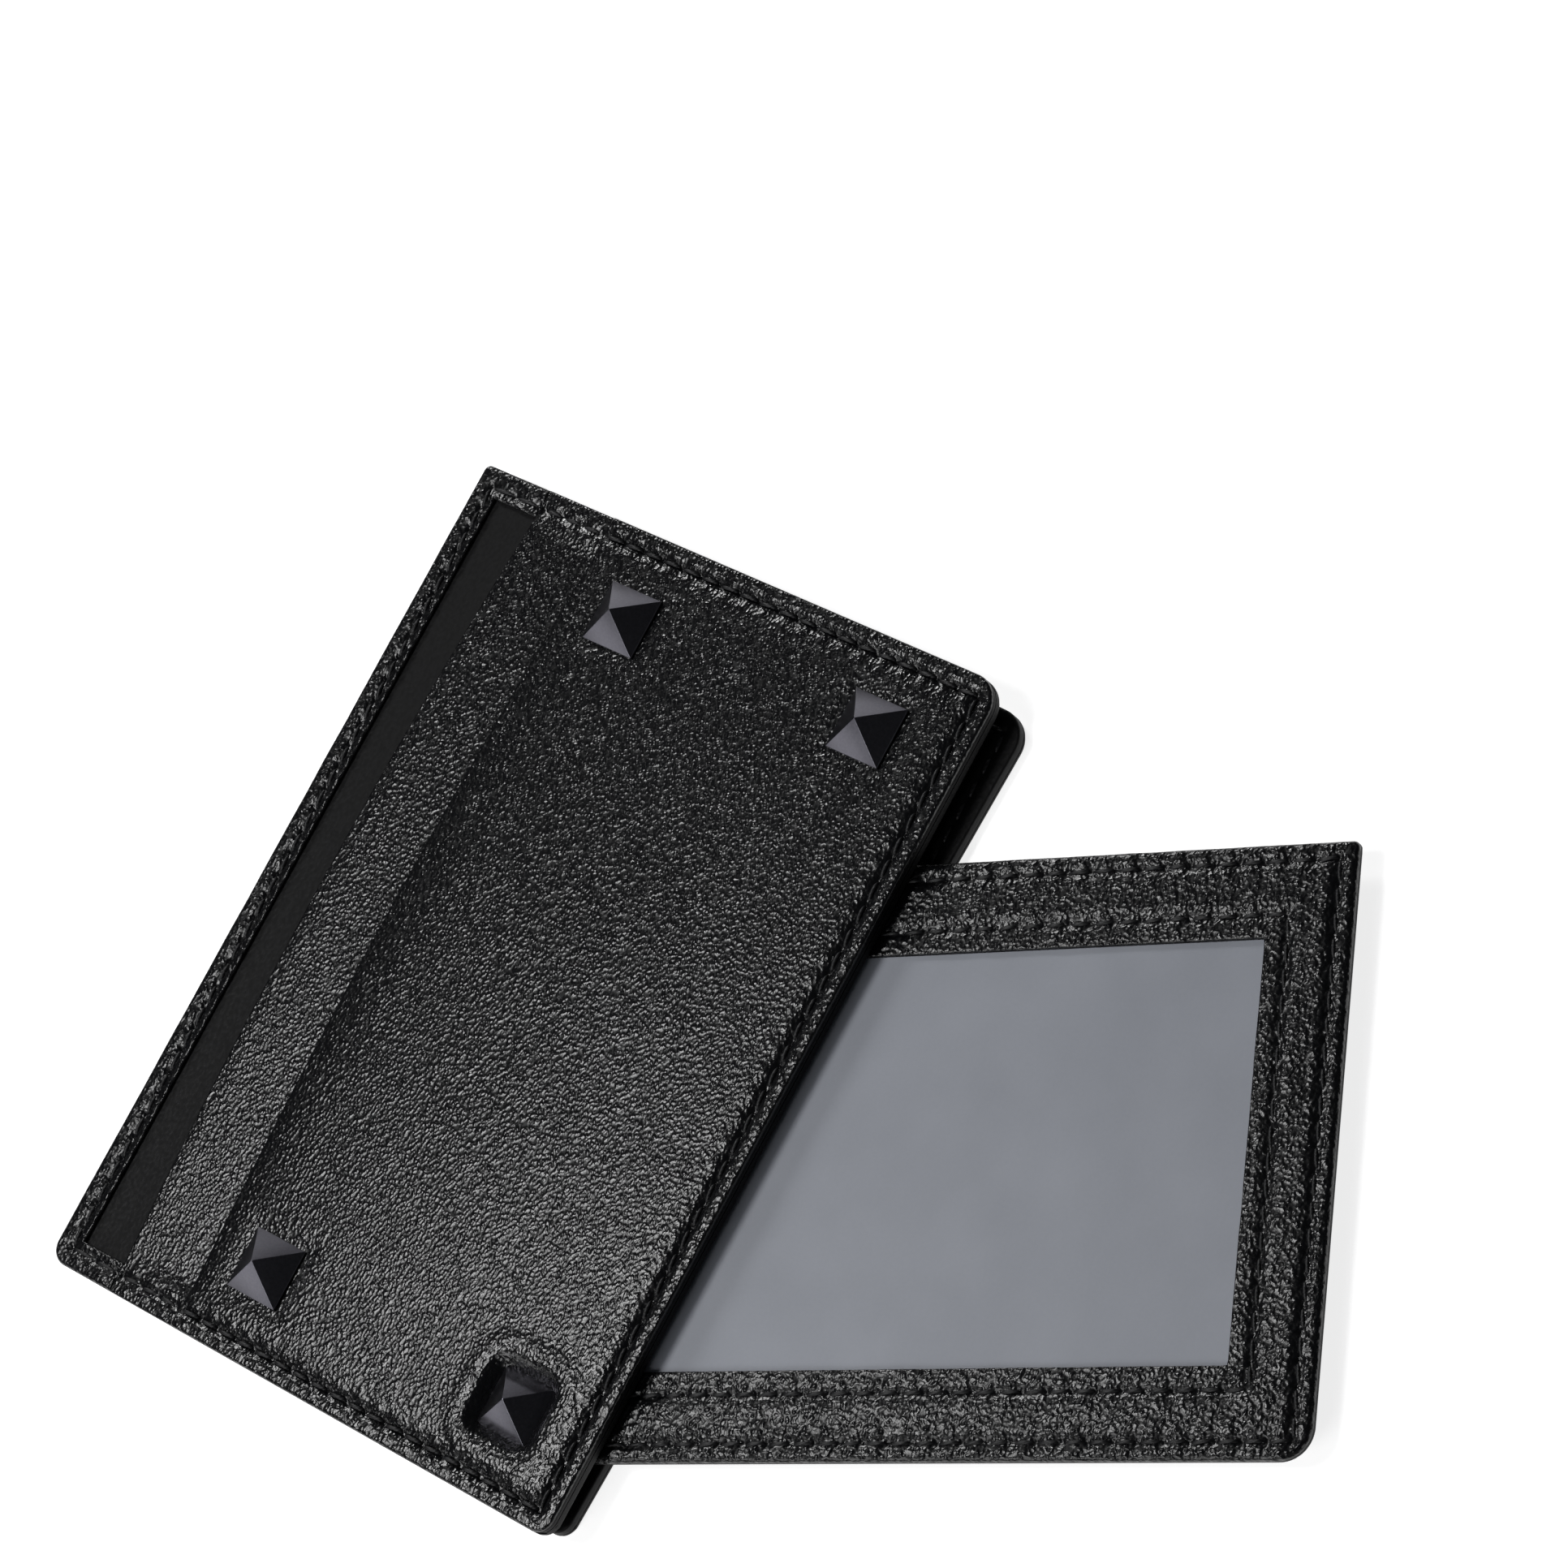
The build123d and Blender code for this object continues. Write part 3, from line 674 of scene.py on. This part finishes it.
def window_face(x, y):
    """Height of the window leaf's leather."""
    d = edge_distance(x, y, WINDOW, CORNER_RADII)
    d_open = -edge_distance(x, y, opening, (0.5,) * 4)
    z = WINDOW[5] - 0.02 + 0.05 * waviness(x, y, 3.2, 21) + 0.035 * waviness(x, y, 1.3, 22)
    between_seams = np.minimum(d - WINDOW_SEAM, d_open - INNER_SEAM)
    z += 0.10 * smooth(between_seams / 1.6) - rolled(d, 0.45) - rolled(d_open, 0.2)
    z -= 0.16 * np.clip(1 - d / WINDOW_SEAM, 0, 1) ** 2
    return z + seam_relief(x, y, window_seams, 0.15, 0.34, 0.1) + seam_relief(x, y, inner_seams, 0.12, 0.3, 0.06)


def window_back(x, y):
    """Underside of the window leather: a rim round three sides, and the card space between."""
    inside = (y > WINDOW[1] + RIM_SIDE) & (y < WINDOW[3] - RIM_SIDE) & (x < WINDOW[2] - RIM_END)
    boss = (x * x + y * y < BOSS ** 2) | ((x < 0) & (y < BOSS))
    return np.where(inside & ~boss, film_box[5], WINDOW[4])


def frame_cells(x, y):
    """Grid cells of the leather frame, without the window and the rivet hole."""
    hole = (x > opening[0]) & (x < opening[2]) & (y > opening[1]) & (y < opening[3])
    return ~hole & around_hole(BUSHING_HOLE)(x, y)


rivet_zone = [(-2.4, 2.4, 0.16)]
frame_x = grid_lines(WINDOW[0], WINDOW[2], 0.34, close=(opening[0], opening[2]), fine=rivet_zone)
frame_y = grid_lines(WINDOW[1], WINDOW[3], 0.34, close=(opening[1], opening[3]), fine=rivet_zone)
sheet("window_frame_leather", frame_x, frame_y, outlined(WINDOW), window_face, window_back, MIDDLE,
      ["window_frame"], keep=frame_cells)

# %% Back and stitches of the window leaf
panel_x = grid_lines(WINDOW[0], WINDOW[2], 0.6, fine=rivet_zone)
panel_y = grid_lines(WINDOW[1], WINDOW[3], 0.6, fine=rivet_zone)
sheet("window_leaf_back", panel_x, panel_y, outlined(WINDOW), plain_face(panel_box[4], -1, WINDOW, window_seams, 0.2),
      panel_box[5], MIDDLE, ["window_back_panel"], down=True, keep=around_hole(BUSHING_HOLE))
stitches("window_outer_stitches", [(window_seams, WINDOW[5] - 0.15)], MIDDLE, ["window_outer_thread"])
stitches("window_inner_stitches", [(inner_seams, WINDOW[5] - 0.13)], MIDDLE, ["window_inner_thread"])
stitches("window_back_stitches", [(window_seams, panel_box[4] + LINING_BED)], MIDDLE, down=True)

# %% [markdown]
# The film is a thin sheet held under the leather on all four sides. It is stiff enough to stay smooth, but it
# is never quite flat, so it has long, low waves that move its soft highlight about.

# %% Frosted film
FILM_HOLE, FILM_THICKNESS = 2.9, 0.1


def film_face(x, y):
    """Top of the film."""
    return film_box[5] - 0.03 + 0.02 * waviness(x, y, 16, 31)


film_x = grid_lines(film_box[0], film_box[2], 1.0)
film_y = grid_lines(film_box[1], film_box[3], 1.0)
film = sheet("frosted_window_film", film_x, film_y, lambda x, y: (x, y), film_face,
             lambda x, y: film_face(x, y) - FILM_THICKNESS, MIDDLE, ["window_film"],
             keep=around_hole(FILM_HOLE))

# %% [markdown]
# The back leaf is the studded leaf's twin, turned over: its pocket faces the table, and the plain face that
# shows at the fan's edge is smooth lining leather.

# %% Measures of the back leaf
BACK = "back_leaf"
CAP_HOLE = 4.2
back_pocket = plan_box("back_pocket", BACK)
back_slot = plan_box("back_slot_panel", BACK)
back_lining = plan_box("back_lining", BACK)
back_board = plan_box("back_board", BACK)
back_pocket_seams = pocket_lines(BACK_OUTER)
back_border_seams = border_lines(BACK_OUTER)
back_ring = ring(BACK_OUTER, SEAM)
back_shape = outlined(BACK_OUTER)
back_across = [beside(BACK_OUTER[0] + SEAM, 0.2), beside(BACK_OUTER[2] - SEAM, 0.2)]
back_up = [beside(BACK_OUTER[1] + SEAM, 0.2), beside(BACK_OUTER[3] - SEAM, 0.2)]
cap_zone = (-5.0, 5.0, 0.2)
print("back leaf's layers from", round(back_pocket[4], 2), "to", round(back_lining[5], 2), "mm")

# %% Back pocket
def back_pocket_face(x, y):
    """Height of the pocket that faces down. Nothing on it goes below the resting face."""
    d = foot_distance(x, y, BACK_OUTER)
    mouth = pocket_mouth(x, back_pocket, pocket_edge, POCKET_BOW) - y
    relief = np.minimum(seam_relief(x, y, back_pocket_seams), 0) - rolled(d, 0.22) - rolled(mouth, 0.18)
    relief -= rolled(np.sqrt(x * x + y * y) - CAP_HOLE, 0.2)
    return back_pocket[4] - relief


back_x = grid_lines(back_pocket[0], back_pocket[2], 0.55, fine=[cap_zone, *back_across])
back_y = grid_lines(back_pocket[1], back_pocket[3], 0.55, fine=[cap_zone, back_up[0]])
sheet("back_pocket_leather", back_x, back_y, bowed(back_pocket, pocket_edge, POCKET_BOW), back_pocket_face,
      back_pocket[5], BACK, ["back_pocket"], down=True, keep=around_hole(CAP_HOLE))


# %% Back border and slot lining
def back_border_face(x, y):
    """Height of the slot border that faces down."""
    edges = rolled(edge_distance(x, y, BACK_OUTER, CORNER_RADII), 0.22) + rolled(into_border(x, y, BACK_OUTER), 0.15)
    return edges - np.minimum(seam_relief(x, y, back_border_seams), 0)


back_border_x, back_border_y = border_lines_across(BACK_OUTER, (0.4, 0.4))
sheet("back_border_leather", back_border_x, back_border_y, back_shape, back_border_face, back_pocket[5], BACK,
      ["back_slot_border"], down=True, keep=lambda x, y: into_border(x, y, BACK_OUTER) > 0)


def back_slot_face(x, y):
    """Height of the slot lining that faces down."""
    return back_slot[4] + 0.02 + rolled(edge_distance(x, y, BACK_OUTER, CORNER_RADII), 0.12)


back_slot_x = grid_lines(BACK_OUTER[0], BACK_OUTER[2], 1.0, fine=[cap_zone])
back_slot_y = grid_lines(BACK_OUTER[1], BACK_OUTER[3], 1.0, fine=[cap_zone])
sheet("back_slot_leather", back_slot_x, back_slot_y, back_shape, back_slot_face, back_slot[5], BACK,
      ["back_slot_panel"], down=True, keep=around_hole(CAP_HOLE))

# %% Lining and stitches of the back leaf
lining_x = grid_lines(BACK_OUTER[0], BACK_OUTER[2], 0.6, fine=back_across)
lining_y = grid_lines(BACK_OUTER[1], BACK_OUTER[3], 0.6, fine=back_up)
sheet("back_leaf_lining", lining_x, lining_y, back_shape, plain_face(back_lining[5], 1, BACK_OUTER, back_ring),
      over_board(back_board, back_board[5], back_lining[4]), BACK, ["back_lining"],
      keep=around_hole(BUSHING_HOLE))
back_rows = [(back_pocket_seams, 0.2), (back_border_seams, 0.2)]
stitches("back_pocket_stitches", back_rows, BACK, ["back_seam_thread"], down=True)
stitches("back_lining_stitches", [(back_ring, back_lining[5] - LINING_BED)], BACK)

# %% [markdown]
# Every finish is a node tree. One small function adds a node with its settings and links, and colours are
# written as sRGB hex values and turned to the linear values that the shaders work in.

# %% Material helpers
def linear(hex_colour):
    """Linear colour from an sRGB hex value such as #202124."""
    channels = [int(hex_colour[i:i + 2], 16) / 255 for i in (1, 3, 5)]
    return tuple(c / 12.92 if c <= 0.04045 else ((c + 0.055) / 1.055) ** 2.4 for c in channels) + (1.0,)


def node(tree, kind, settings=None, stops=(), **inputs):
    """Adds a node with its settings and links.

    Settings are the node's properties and stops a colour ramp's (position, hex colour) pairs. Each input is a
    value or another node's output, and is named as on the node or numbered from i0.
    """
    made = tree.nodes.new(kind)
    for key, value in (settings or {}).items():
        setattr(made, key, value)
    for k, (position, colour) in enumerate(stops):
        made.color_ramp.elements[k].position = position
        made.color_ramp.elements[k].color = linear(colour)
    for key, value in inputs.items():
        numbered = key[0] == "i" and key[1:].isdigit()
        socket = made.inputs[int(key[1:]) if numbered else key.replace("_", " ")]
        if isinstance(value, bpy.types.NodeSocket):
            tree.links.new(value, socket)
        else:
            socket.default_value = value
    return made


def new_material(name):
    """Empty node material with its tree and its Principled shader."""
    material = bpy.data.materials.new(name)
    material.use_nodes = True
    tree = material.node_tree
    return material, tree, tree.nodes["Principled BSDF"]


print("black leather's linear colour is", np.round(linear("#0d0d10")[:3], 4).tolist())

# %% [markdown]
# Calf leather for small goods is drum dyed, pressed with a grain plate and finished with a thin gloss coat. The
# grain is a net of creases round pebbles about half a millimetre across. A warped cell pattern gives that net.
# The finish catches light on top of the pebbles and is dull in the creases. The colour is painted a shade darker
# in the creases than on the pebbles, as painted shade. Cut edges are painted matte.

# %% Leather
MULTIPLY_ADD = {"operation": "MULTIPLY_ADD"}


def pressed_leather(name, base, crest_painted_light, pebble_mm, stretch, relief_mm, gloss, shine=0.5):
    """Black pressed calf leather; its pebbles have a real size and are squeezed along the leaf's width."""
    material, tree, shader = new_material(name)
    place = node(tree, "ShaderNodeTexCoord").outputs["Object"]
    mapped = node(tree, "ShaderNodeMapping", Vector=place, Scale=(1, stretch, 1)).outputs[0]
    cells = 1 / (pebble_mm * MM)
    warp = node(tree, "ShaderNodeTexNoise", Vector=mapped, Scale=cells * 0.5, Detail=1.0)
    shifted = node(tree, "ShaderNodeVectorMath", MULTIPLY_ADD, i0=warp.outputs["Color"],
                   i1=(0.5 * pebble_mm * MM,) * 3, i2=mapped).outputs[0]
    swell = node(tree, "ShaderNodeTexNoise", Vector=shifted, Scale=cells, Detail=0.6, Roughness=0.5).outputs[0]
    pebbles = node(tree, "ShaderNodeTexVoronoi", {"feature": "SMOOTH_F1"}, Vector=shifted, Scale=cells * 0.9,
                   Smoothness=0.6).outputs["Distance"]
    dome = node(tree, "ShaderNodeMath", MULTIPLY_ADD, i0=pebbles, i1=-0.75, i2=swell).outputs[0]
    pores = node(tree, "ShaderNodeTexNoise", Vector=place, Scale=1 / (0.2 * MM), Detail=1.0)
    height = node(tree, "ShaderNodeMath", MULTIPLY_ADD, i0=pores.outputs[0], i1=0.03, i2=dome).outputs[0]
    bump = node(tree, "ShaderNodeBump", Height=height, Strength=1.0, Distance=relief_mm * MM)
    # Painted shade: this colour ramp makes the creases darker and the pebble tops lighter.
    colour = node(tree, "ShaderNodeValToRGB", stops=[(0.1, base), (0.4, crest_painted_light)], Fac=dome)
    roughness = node(tree, "ShaderNodeMapRange", Value=dome, From_Min=-0.1, From_Max=0.3,
                     To_Min=gloss + 0.12, To_Max=gloss)
    tree.links.new(colour.outputs["Color"], shader.inputs["Base Color"])
    tree.links.new(roughness.outputs[0], shader.inputs["Roughness"])
    tree.links.new(bump.outputs[0], shader.inputs["Normal"])
    shader.inputs["IOR"].default_value = 1.5
    shader.inputs["Specular IOR Level"].default_value = shine
    return material


panel_leather = pressed_leather("pressed_calf_fine_grain", "#08080a", "#0d0d10", 0.42, 1.2, 0.082, 0.17, 0.6)
border_leather = pressed_leather("pressed_calf_border_grain", "#08080a", "#0d0d10", 0.45, 1.1, 0.095, 0.20, 0.5)
window_leather = pressed_leather("crumpled_calf_coarse_grain", "#08080a", "#0d0d10", 0.46, 1.0, 0.115, 0.20, 0.5)
lining_leather = pressed_leather("smooth_lining_calf", "#060607", "#09090b", 0.5, 1.2, 0.03, 0.5, 0.2)
LEATHERS = {
    "studded_pocket_leather": panel_leather, "second_pocket_leather": panel_leather,
    "back_pocket_leather": panel_leather,
    "slot_border_leather": border_leather, "back_border_leather": border_leather,
    "window_frame_leather": window_leather, "window_leaf_back": lining_leather,
    "slot_lining_leather": lining_leather, "back_slot_leather": lining_leather,
    "studded_leaf_lining": lining_leather, "back_leaf_lining": lining_leather,
}

# %% Edge paint
edge_paint, tree, shader = new_material("matte_edge_paint")
place = node(tree, "ShaderNodeTexCoord").outputs["Object"]
brushed = node(tree, "ShaderNodeTexNoise", Vector=place, Scale=1 / (0.5 * MM), Detail=3.0, Roughness=0.6)
paint = node(tree, "ShaderNodeValToRGB", stops=[(0.3, "#050506"), (0.7, "#0a0a0b")], Fac=brushed.outputs[0])
tree.links.new(paint.outputs["Color"], shader.inputs["Base Color"])
edge_bump = node(tree, "ShaderNodeBump", Height=brushed.outputs[0], Strength=0.5, Distance=0.05 * MM)
tree.links.new(edge_bump.outputs[0], shader.inputs["Normal"])
shader.inputs["Roughness"].default_value = 0.6
shader.inputs["Specular IOR Level"].default_value = 0.2
for name, material in LEATHERS.items():
    bpy.data.objects[name].data.materials.append(material)
    bpy.data.objects[name].data.materials.append(edge_paint)
print(len(LEATHERS), "leather pieces finished")

# %% [markdown]
# The thread is bonded polyester of about a fifth of a millimetre, three plies twisted together. The twist is
# too fine to model, so a wave across the thread stands for it, drawn at 0.9 mm where real plies turn in half that.
# The wave also paints the thread darker in its grooves and lighter on its crests, as painted shade.

# %% Thread
thread, tree, shader = new_material("bonded_polyester_thread")
place = node(tree, "ShaderNodeTexCoord").outputs["Object"]
twist = node(tree, "ShaderNodeTexWave", {"bands_direction": "DIAGONAL"}, Vector=place, Scale=1 / (0.9 * MM),
             Distortion=1.5, Detail=1.0)
# Painted shade: this colour ramp makes the thread darker in the grooves of the twist and lighter on the plies.
twist_shade = node(tree, "ShaderNodeValToRGB", stops=[(0.0, "#060608"), (1.0, "#121216")], Fac=twist.outputs["Fac"])
twist_bump = node(tree, "ShaderNodeBump", Height=twist.outputs["Fac"], Strength=0.6, Distance=0.04 * MM)
tree.links.new(twist_shade.outputs["Color"], shader.inputs["Base Color"])
tree.links.new(twist_bump.outputs[0], shader.inputs["Normal"])
shader.inputs["Roughness"].default_value = 0.5
sewn = [piece for piece in bpy.data.objects if piece.name.endswith("stitches")]
for piece in sewn:
    piece.data.materials.append(thread)
print(len(sewn), "pieces of thread finished")

# %% [markdown]
# The studs are brass, plated black and left satin. Plating reflects little, and its faces stay flat and even.
# The rivet's cap, washers and bushings are plain dark steel, tumbled. Tumbling leaves grit marks of a few
# hundredths of a millimetre, which are drawn at 0.2 to 0.3 mm so that they show.

# %% Metals
def satin_metal(name, dark, light, roughness, grit_mm):
    """Metal with a faint tumbled finish: fine mottling in colour, roughness and relief."""
    material, tree, shader = new_material(name)
    place = node(tree, "ShaderNodeTexCoord").outputs["Object"]
    grit = node(tree, "ShaderNodeTexNoise", Vector=place, Scale=1 / (grit_mm * MM), Detail=4.0, Roughness=0.6)
    colour = node(tree, "ShaderNodeValToRGB", stops=[(0.35, dark), (0.65, light)], Fac=grit.outputs[0])
    tree.links.new(colour.outputs["Color"], shader.inputs["Base Color"])
    spread_rough = node(tree, "ShaderNodeMapRange", Value=grit.outputs[0], To_Min=roughness - 0.05,
                        To_Max=roughness + 0.07)
    tree.links.new(spread_rough.outputs[0], shader.inputs["Roughness"])
    bump = node(tree, "ShaderNodeBump", Height=grit.outputs[0], Strength=0.12, Distance=0.01 * MM)
    tree.links.new(bump.outputs[0], shader.inputs["Normal"])
    shader.inputs["Metallic"].default_value = 1.0
    return material


def refinish(names, material):
    """Gives nodes of the frame, shown as they are, a finish of their own."""
    for name in names:
        frame["nodes"][name].data.materials.clear()
        frame["nodes"][name].data.materials.append(material)
    print(len(names), "nodes in", material.name)


black_plating = satin_metal("black_plated_brass", "#5d5c63", "#66656c", 0.3, 0.3)
dark_steel = satin_metal("tumbled_dark_steel", "#3c3c40", "#4b4b50", 0.38, 0.2)
for name in ("corner_stud_heads", "rivet_stud"):
    bpy.data.objects[name].data.materials.append(black_plating)
refinish(["pivot_cap", "rear_washer", "leaf_washers", "window_bushing", "back_bushing", "stud_backs"], dark_steel)

# %% [markdown]
# The window is soft frosted PVC film over a grey card liner. Frosting is a fine embossed grain, so the film
# looks milky and even, with a soft dull shine. Its grain of a tenth of a millimetre is drawn at 0.45 mm.

# %% Film
frosted, tree, shader = new_material("frosted_pvc_film")
place = node(tree, "ShaderNodeTexCoord").outputs["Object"]
frost = node(tree, "ShaderNodeTexNoise", Vector=place, Scale=1 / (0.45 * MM), Detail=3.0, Roughness=0.6)
cloud = node(tree, "ShaderNodeTexNoise", Vector=place, Scale=1 / (9 * MM), Detail=2.0, Roughness=0.5)
both = node(tree, "ShaderNodeMath", MULTIPLY_ADD, i0=frost.outputs[0], i1=0.35, i2=cloud.outputs[0]).outputs[0]
milk = node(tree, "ShaderNodeValToRGB", stops=[(0.3, "#9a9ea8"), (1.0, "#a6aab4")], Fac=both)
tree.links.new(milk.outputs["Color"], shader.inputs["Base Color"])
frost_bump = node(tree, "ShaderNodeBump", Height=frost.outputs[0], Strength=0.35, Distance=0.03 * MM)
tree.links.new(frost_bump.outputs[0], shader.inputs["Normal"])
shader.inputs["Roughness"].default_value = 0.48
shader.inputs["IOR"].default_value = 1.53
film.data.materials.append(frosted)
print("film finished")

# %% Card and board
card, tree, shader = new_material("grey_card_board")
place = node(tree, "ShaderNodeTexCoord").outputs["Object"]
fibre = node(tree, "ShaderNodeTexNoise", Vector=place, Scale=1 / (0.6 * MM), Detail=4.0, Roughness=0.7)
grey = node(tree, "ShaderNodeValToRGB", stops=[(0.3, "#6a6b70"), (0.7, "#7d7e83")], Fac=fibre.outputs[0])
tree.links.new(grey.outputs["Color"], shader.inputs["Base Color"])
shader.inputs["Roughness"].default_value = 0.85
refinish(["card_backing", "front_board", "back_board"], card)

# %% [markdown]
# The wallet lies on a plain pale floor under studio softboxes. Black leather shows its shape only by what it
# reflects, so the large lights stand behind it, where their reflection reaches the lens. The main one hangs
# close, so its sheen fades from the rivet end to the far end. The lens side stays dark, and the near faces of
# the studs turn black.

# %% Floor
FLOOR_GAP = 0.2      # the floor lies this far under the wallet, mm
bpy.ops.mesh.primitive_plane_add(size=3.0, location=(0, 0, -FLOOR_GAP * MM))
floor = bpy.context.object
floor.name = "studio_floor"
paper, tree, shader = new_material("white_seamless_paper")
place = node(tree, "ShaderNodeTexCoord").outputs["Object"]
tooth = node(tree, "ShaderNodeTexNoise", Vector=place, Scale=1 / (1.5 * MM), Detail=2.0)
white = node(tree, "ShaderNodeValToRGB", stops=[(0.3, "#f1f1f1"), (0.7, "#f4f4f4")], Fac=tooth.outputs[0])
tree.links.new(white.outputs["Color"], shader.inputs["Base Color"])
shader.inputs["Roughness"].default_value = 0.9
shader.inputs["Specular IOR Level"].default_value = 0.1
shader.inputs["Emission Color"].default_value = (1, 1, 1, 1)
shader.inputs["Emission Strength"].default_value = 0.8
floor.data.materials.append(paper)
print("floor at", -FLOOR_GAP, "mm")


# %% Lights
def softbox(name, place, target, size, strength):
    """Rectangular softbox aimed at a point. The lens doesn't see it, but the leather and metal do."""
    light = bpy.data.lights.new(name, "AREA")
    light.shape = "RECTANGLE"
    light.size, light.size_y = size
    light.energy = strength * size[0] * size[1] * math.pi
    holder = bpy.data.objects.new(name, light)
    holder.location = place
    holder.rotation_euler = (Vector(target) - Vector(place)).to_track_quat("-Z", "Y").to_euler()
    holder.visible_camera = False
    bpy.context.scene.collection.objects.link(holder)
    print(name, "at", place, "radiance", strength)


softbox("back_softbox", (-0.09, 0.155, 0.42), (-0.04, -0.03, 0), (0.16, 0.12), 11.5)
softbox("left_softbox", (-0.86, -0.02, 0.66), (0, 0, 0), (0.6, 0.5), 3.0)
softbox("left_low_strip", (-0.95, 0.66, 0.24), (0, 0, 0), (0.6, 0.34), 1.9)
softbox("right_low_strip", (0.95, 0.66, 0.055), (0, 0, 0), (0.7, 0.09), 2.0)
softbox("edge_light", (0.50, 0.82, 0.52), (0, 0, 0), (0.26, 0.22), 16.0)
softbox("front_low_strip", (0.10, -0.95, 0.20), (0, 0, 0), (0.8, 0.2), 0.3)
world = bpy.data.worlds.new("dim_studio")
bpy.context.scene.world = world
world.use_nodes = True
world.node_tree.nodes["Background"].inputs[0].default_value = (0.9, 0.95, 1.0, 1)
world.node_tree.nodes["Background"].inputs[1].default_value = 0.03
bpy.context.scene.view_settings.view_transform = "Standard"

# %% [markdown]
# A long lens looks down at the wallet from the front and left. Its place and angles come from matching the
# corners and studs of the open leaves.

# %% Camera
lens = bpy.data.cameras.new("studio_camera")
lens.lens = 132.8
lens.sensor_width = 36
lens.clip_start = 0.01
camera = bpy.data.objects.new("studio_camera", lens)
camera.location = (-0.02302, -0.35775, 0.51274)
camera.rotation_euler = [math.radians(a) for a in (22.501, 26.529, -56.173)]
bpy.context.scene.collection.objects.link(camera)
bpy.context.scene.camera = camera
print("lens of", lens.lens, "mm at", [round(c, 3) for c in camera.location])
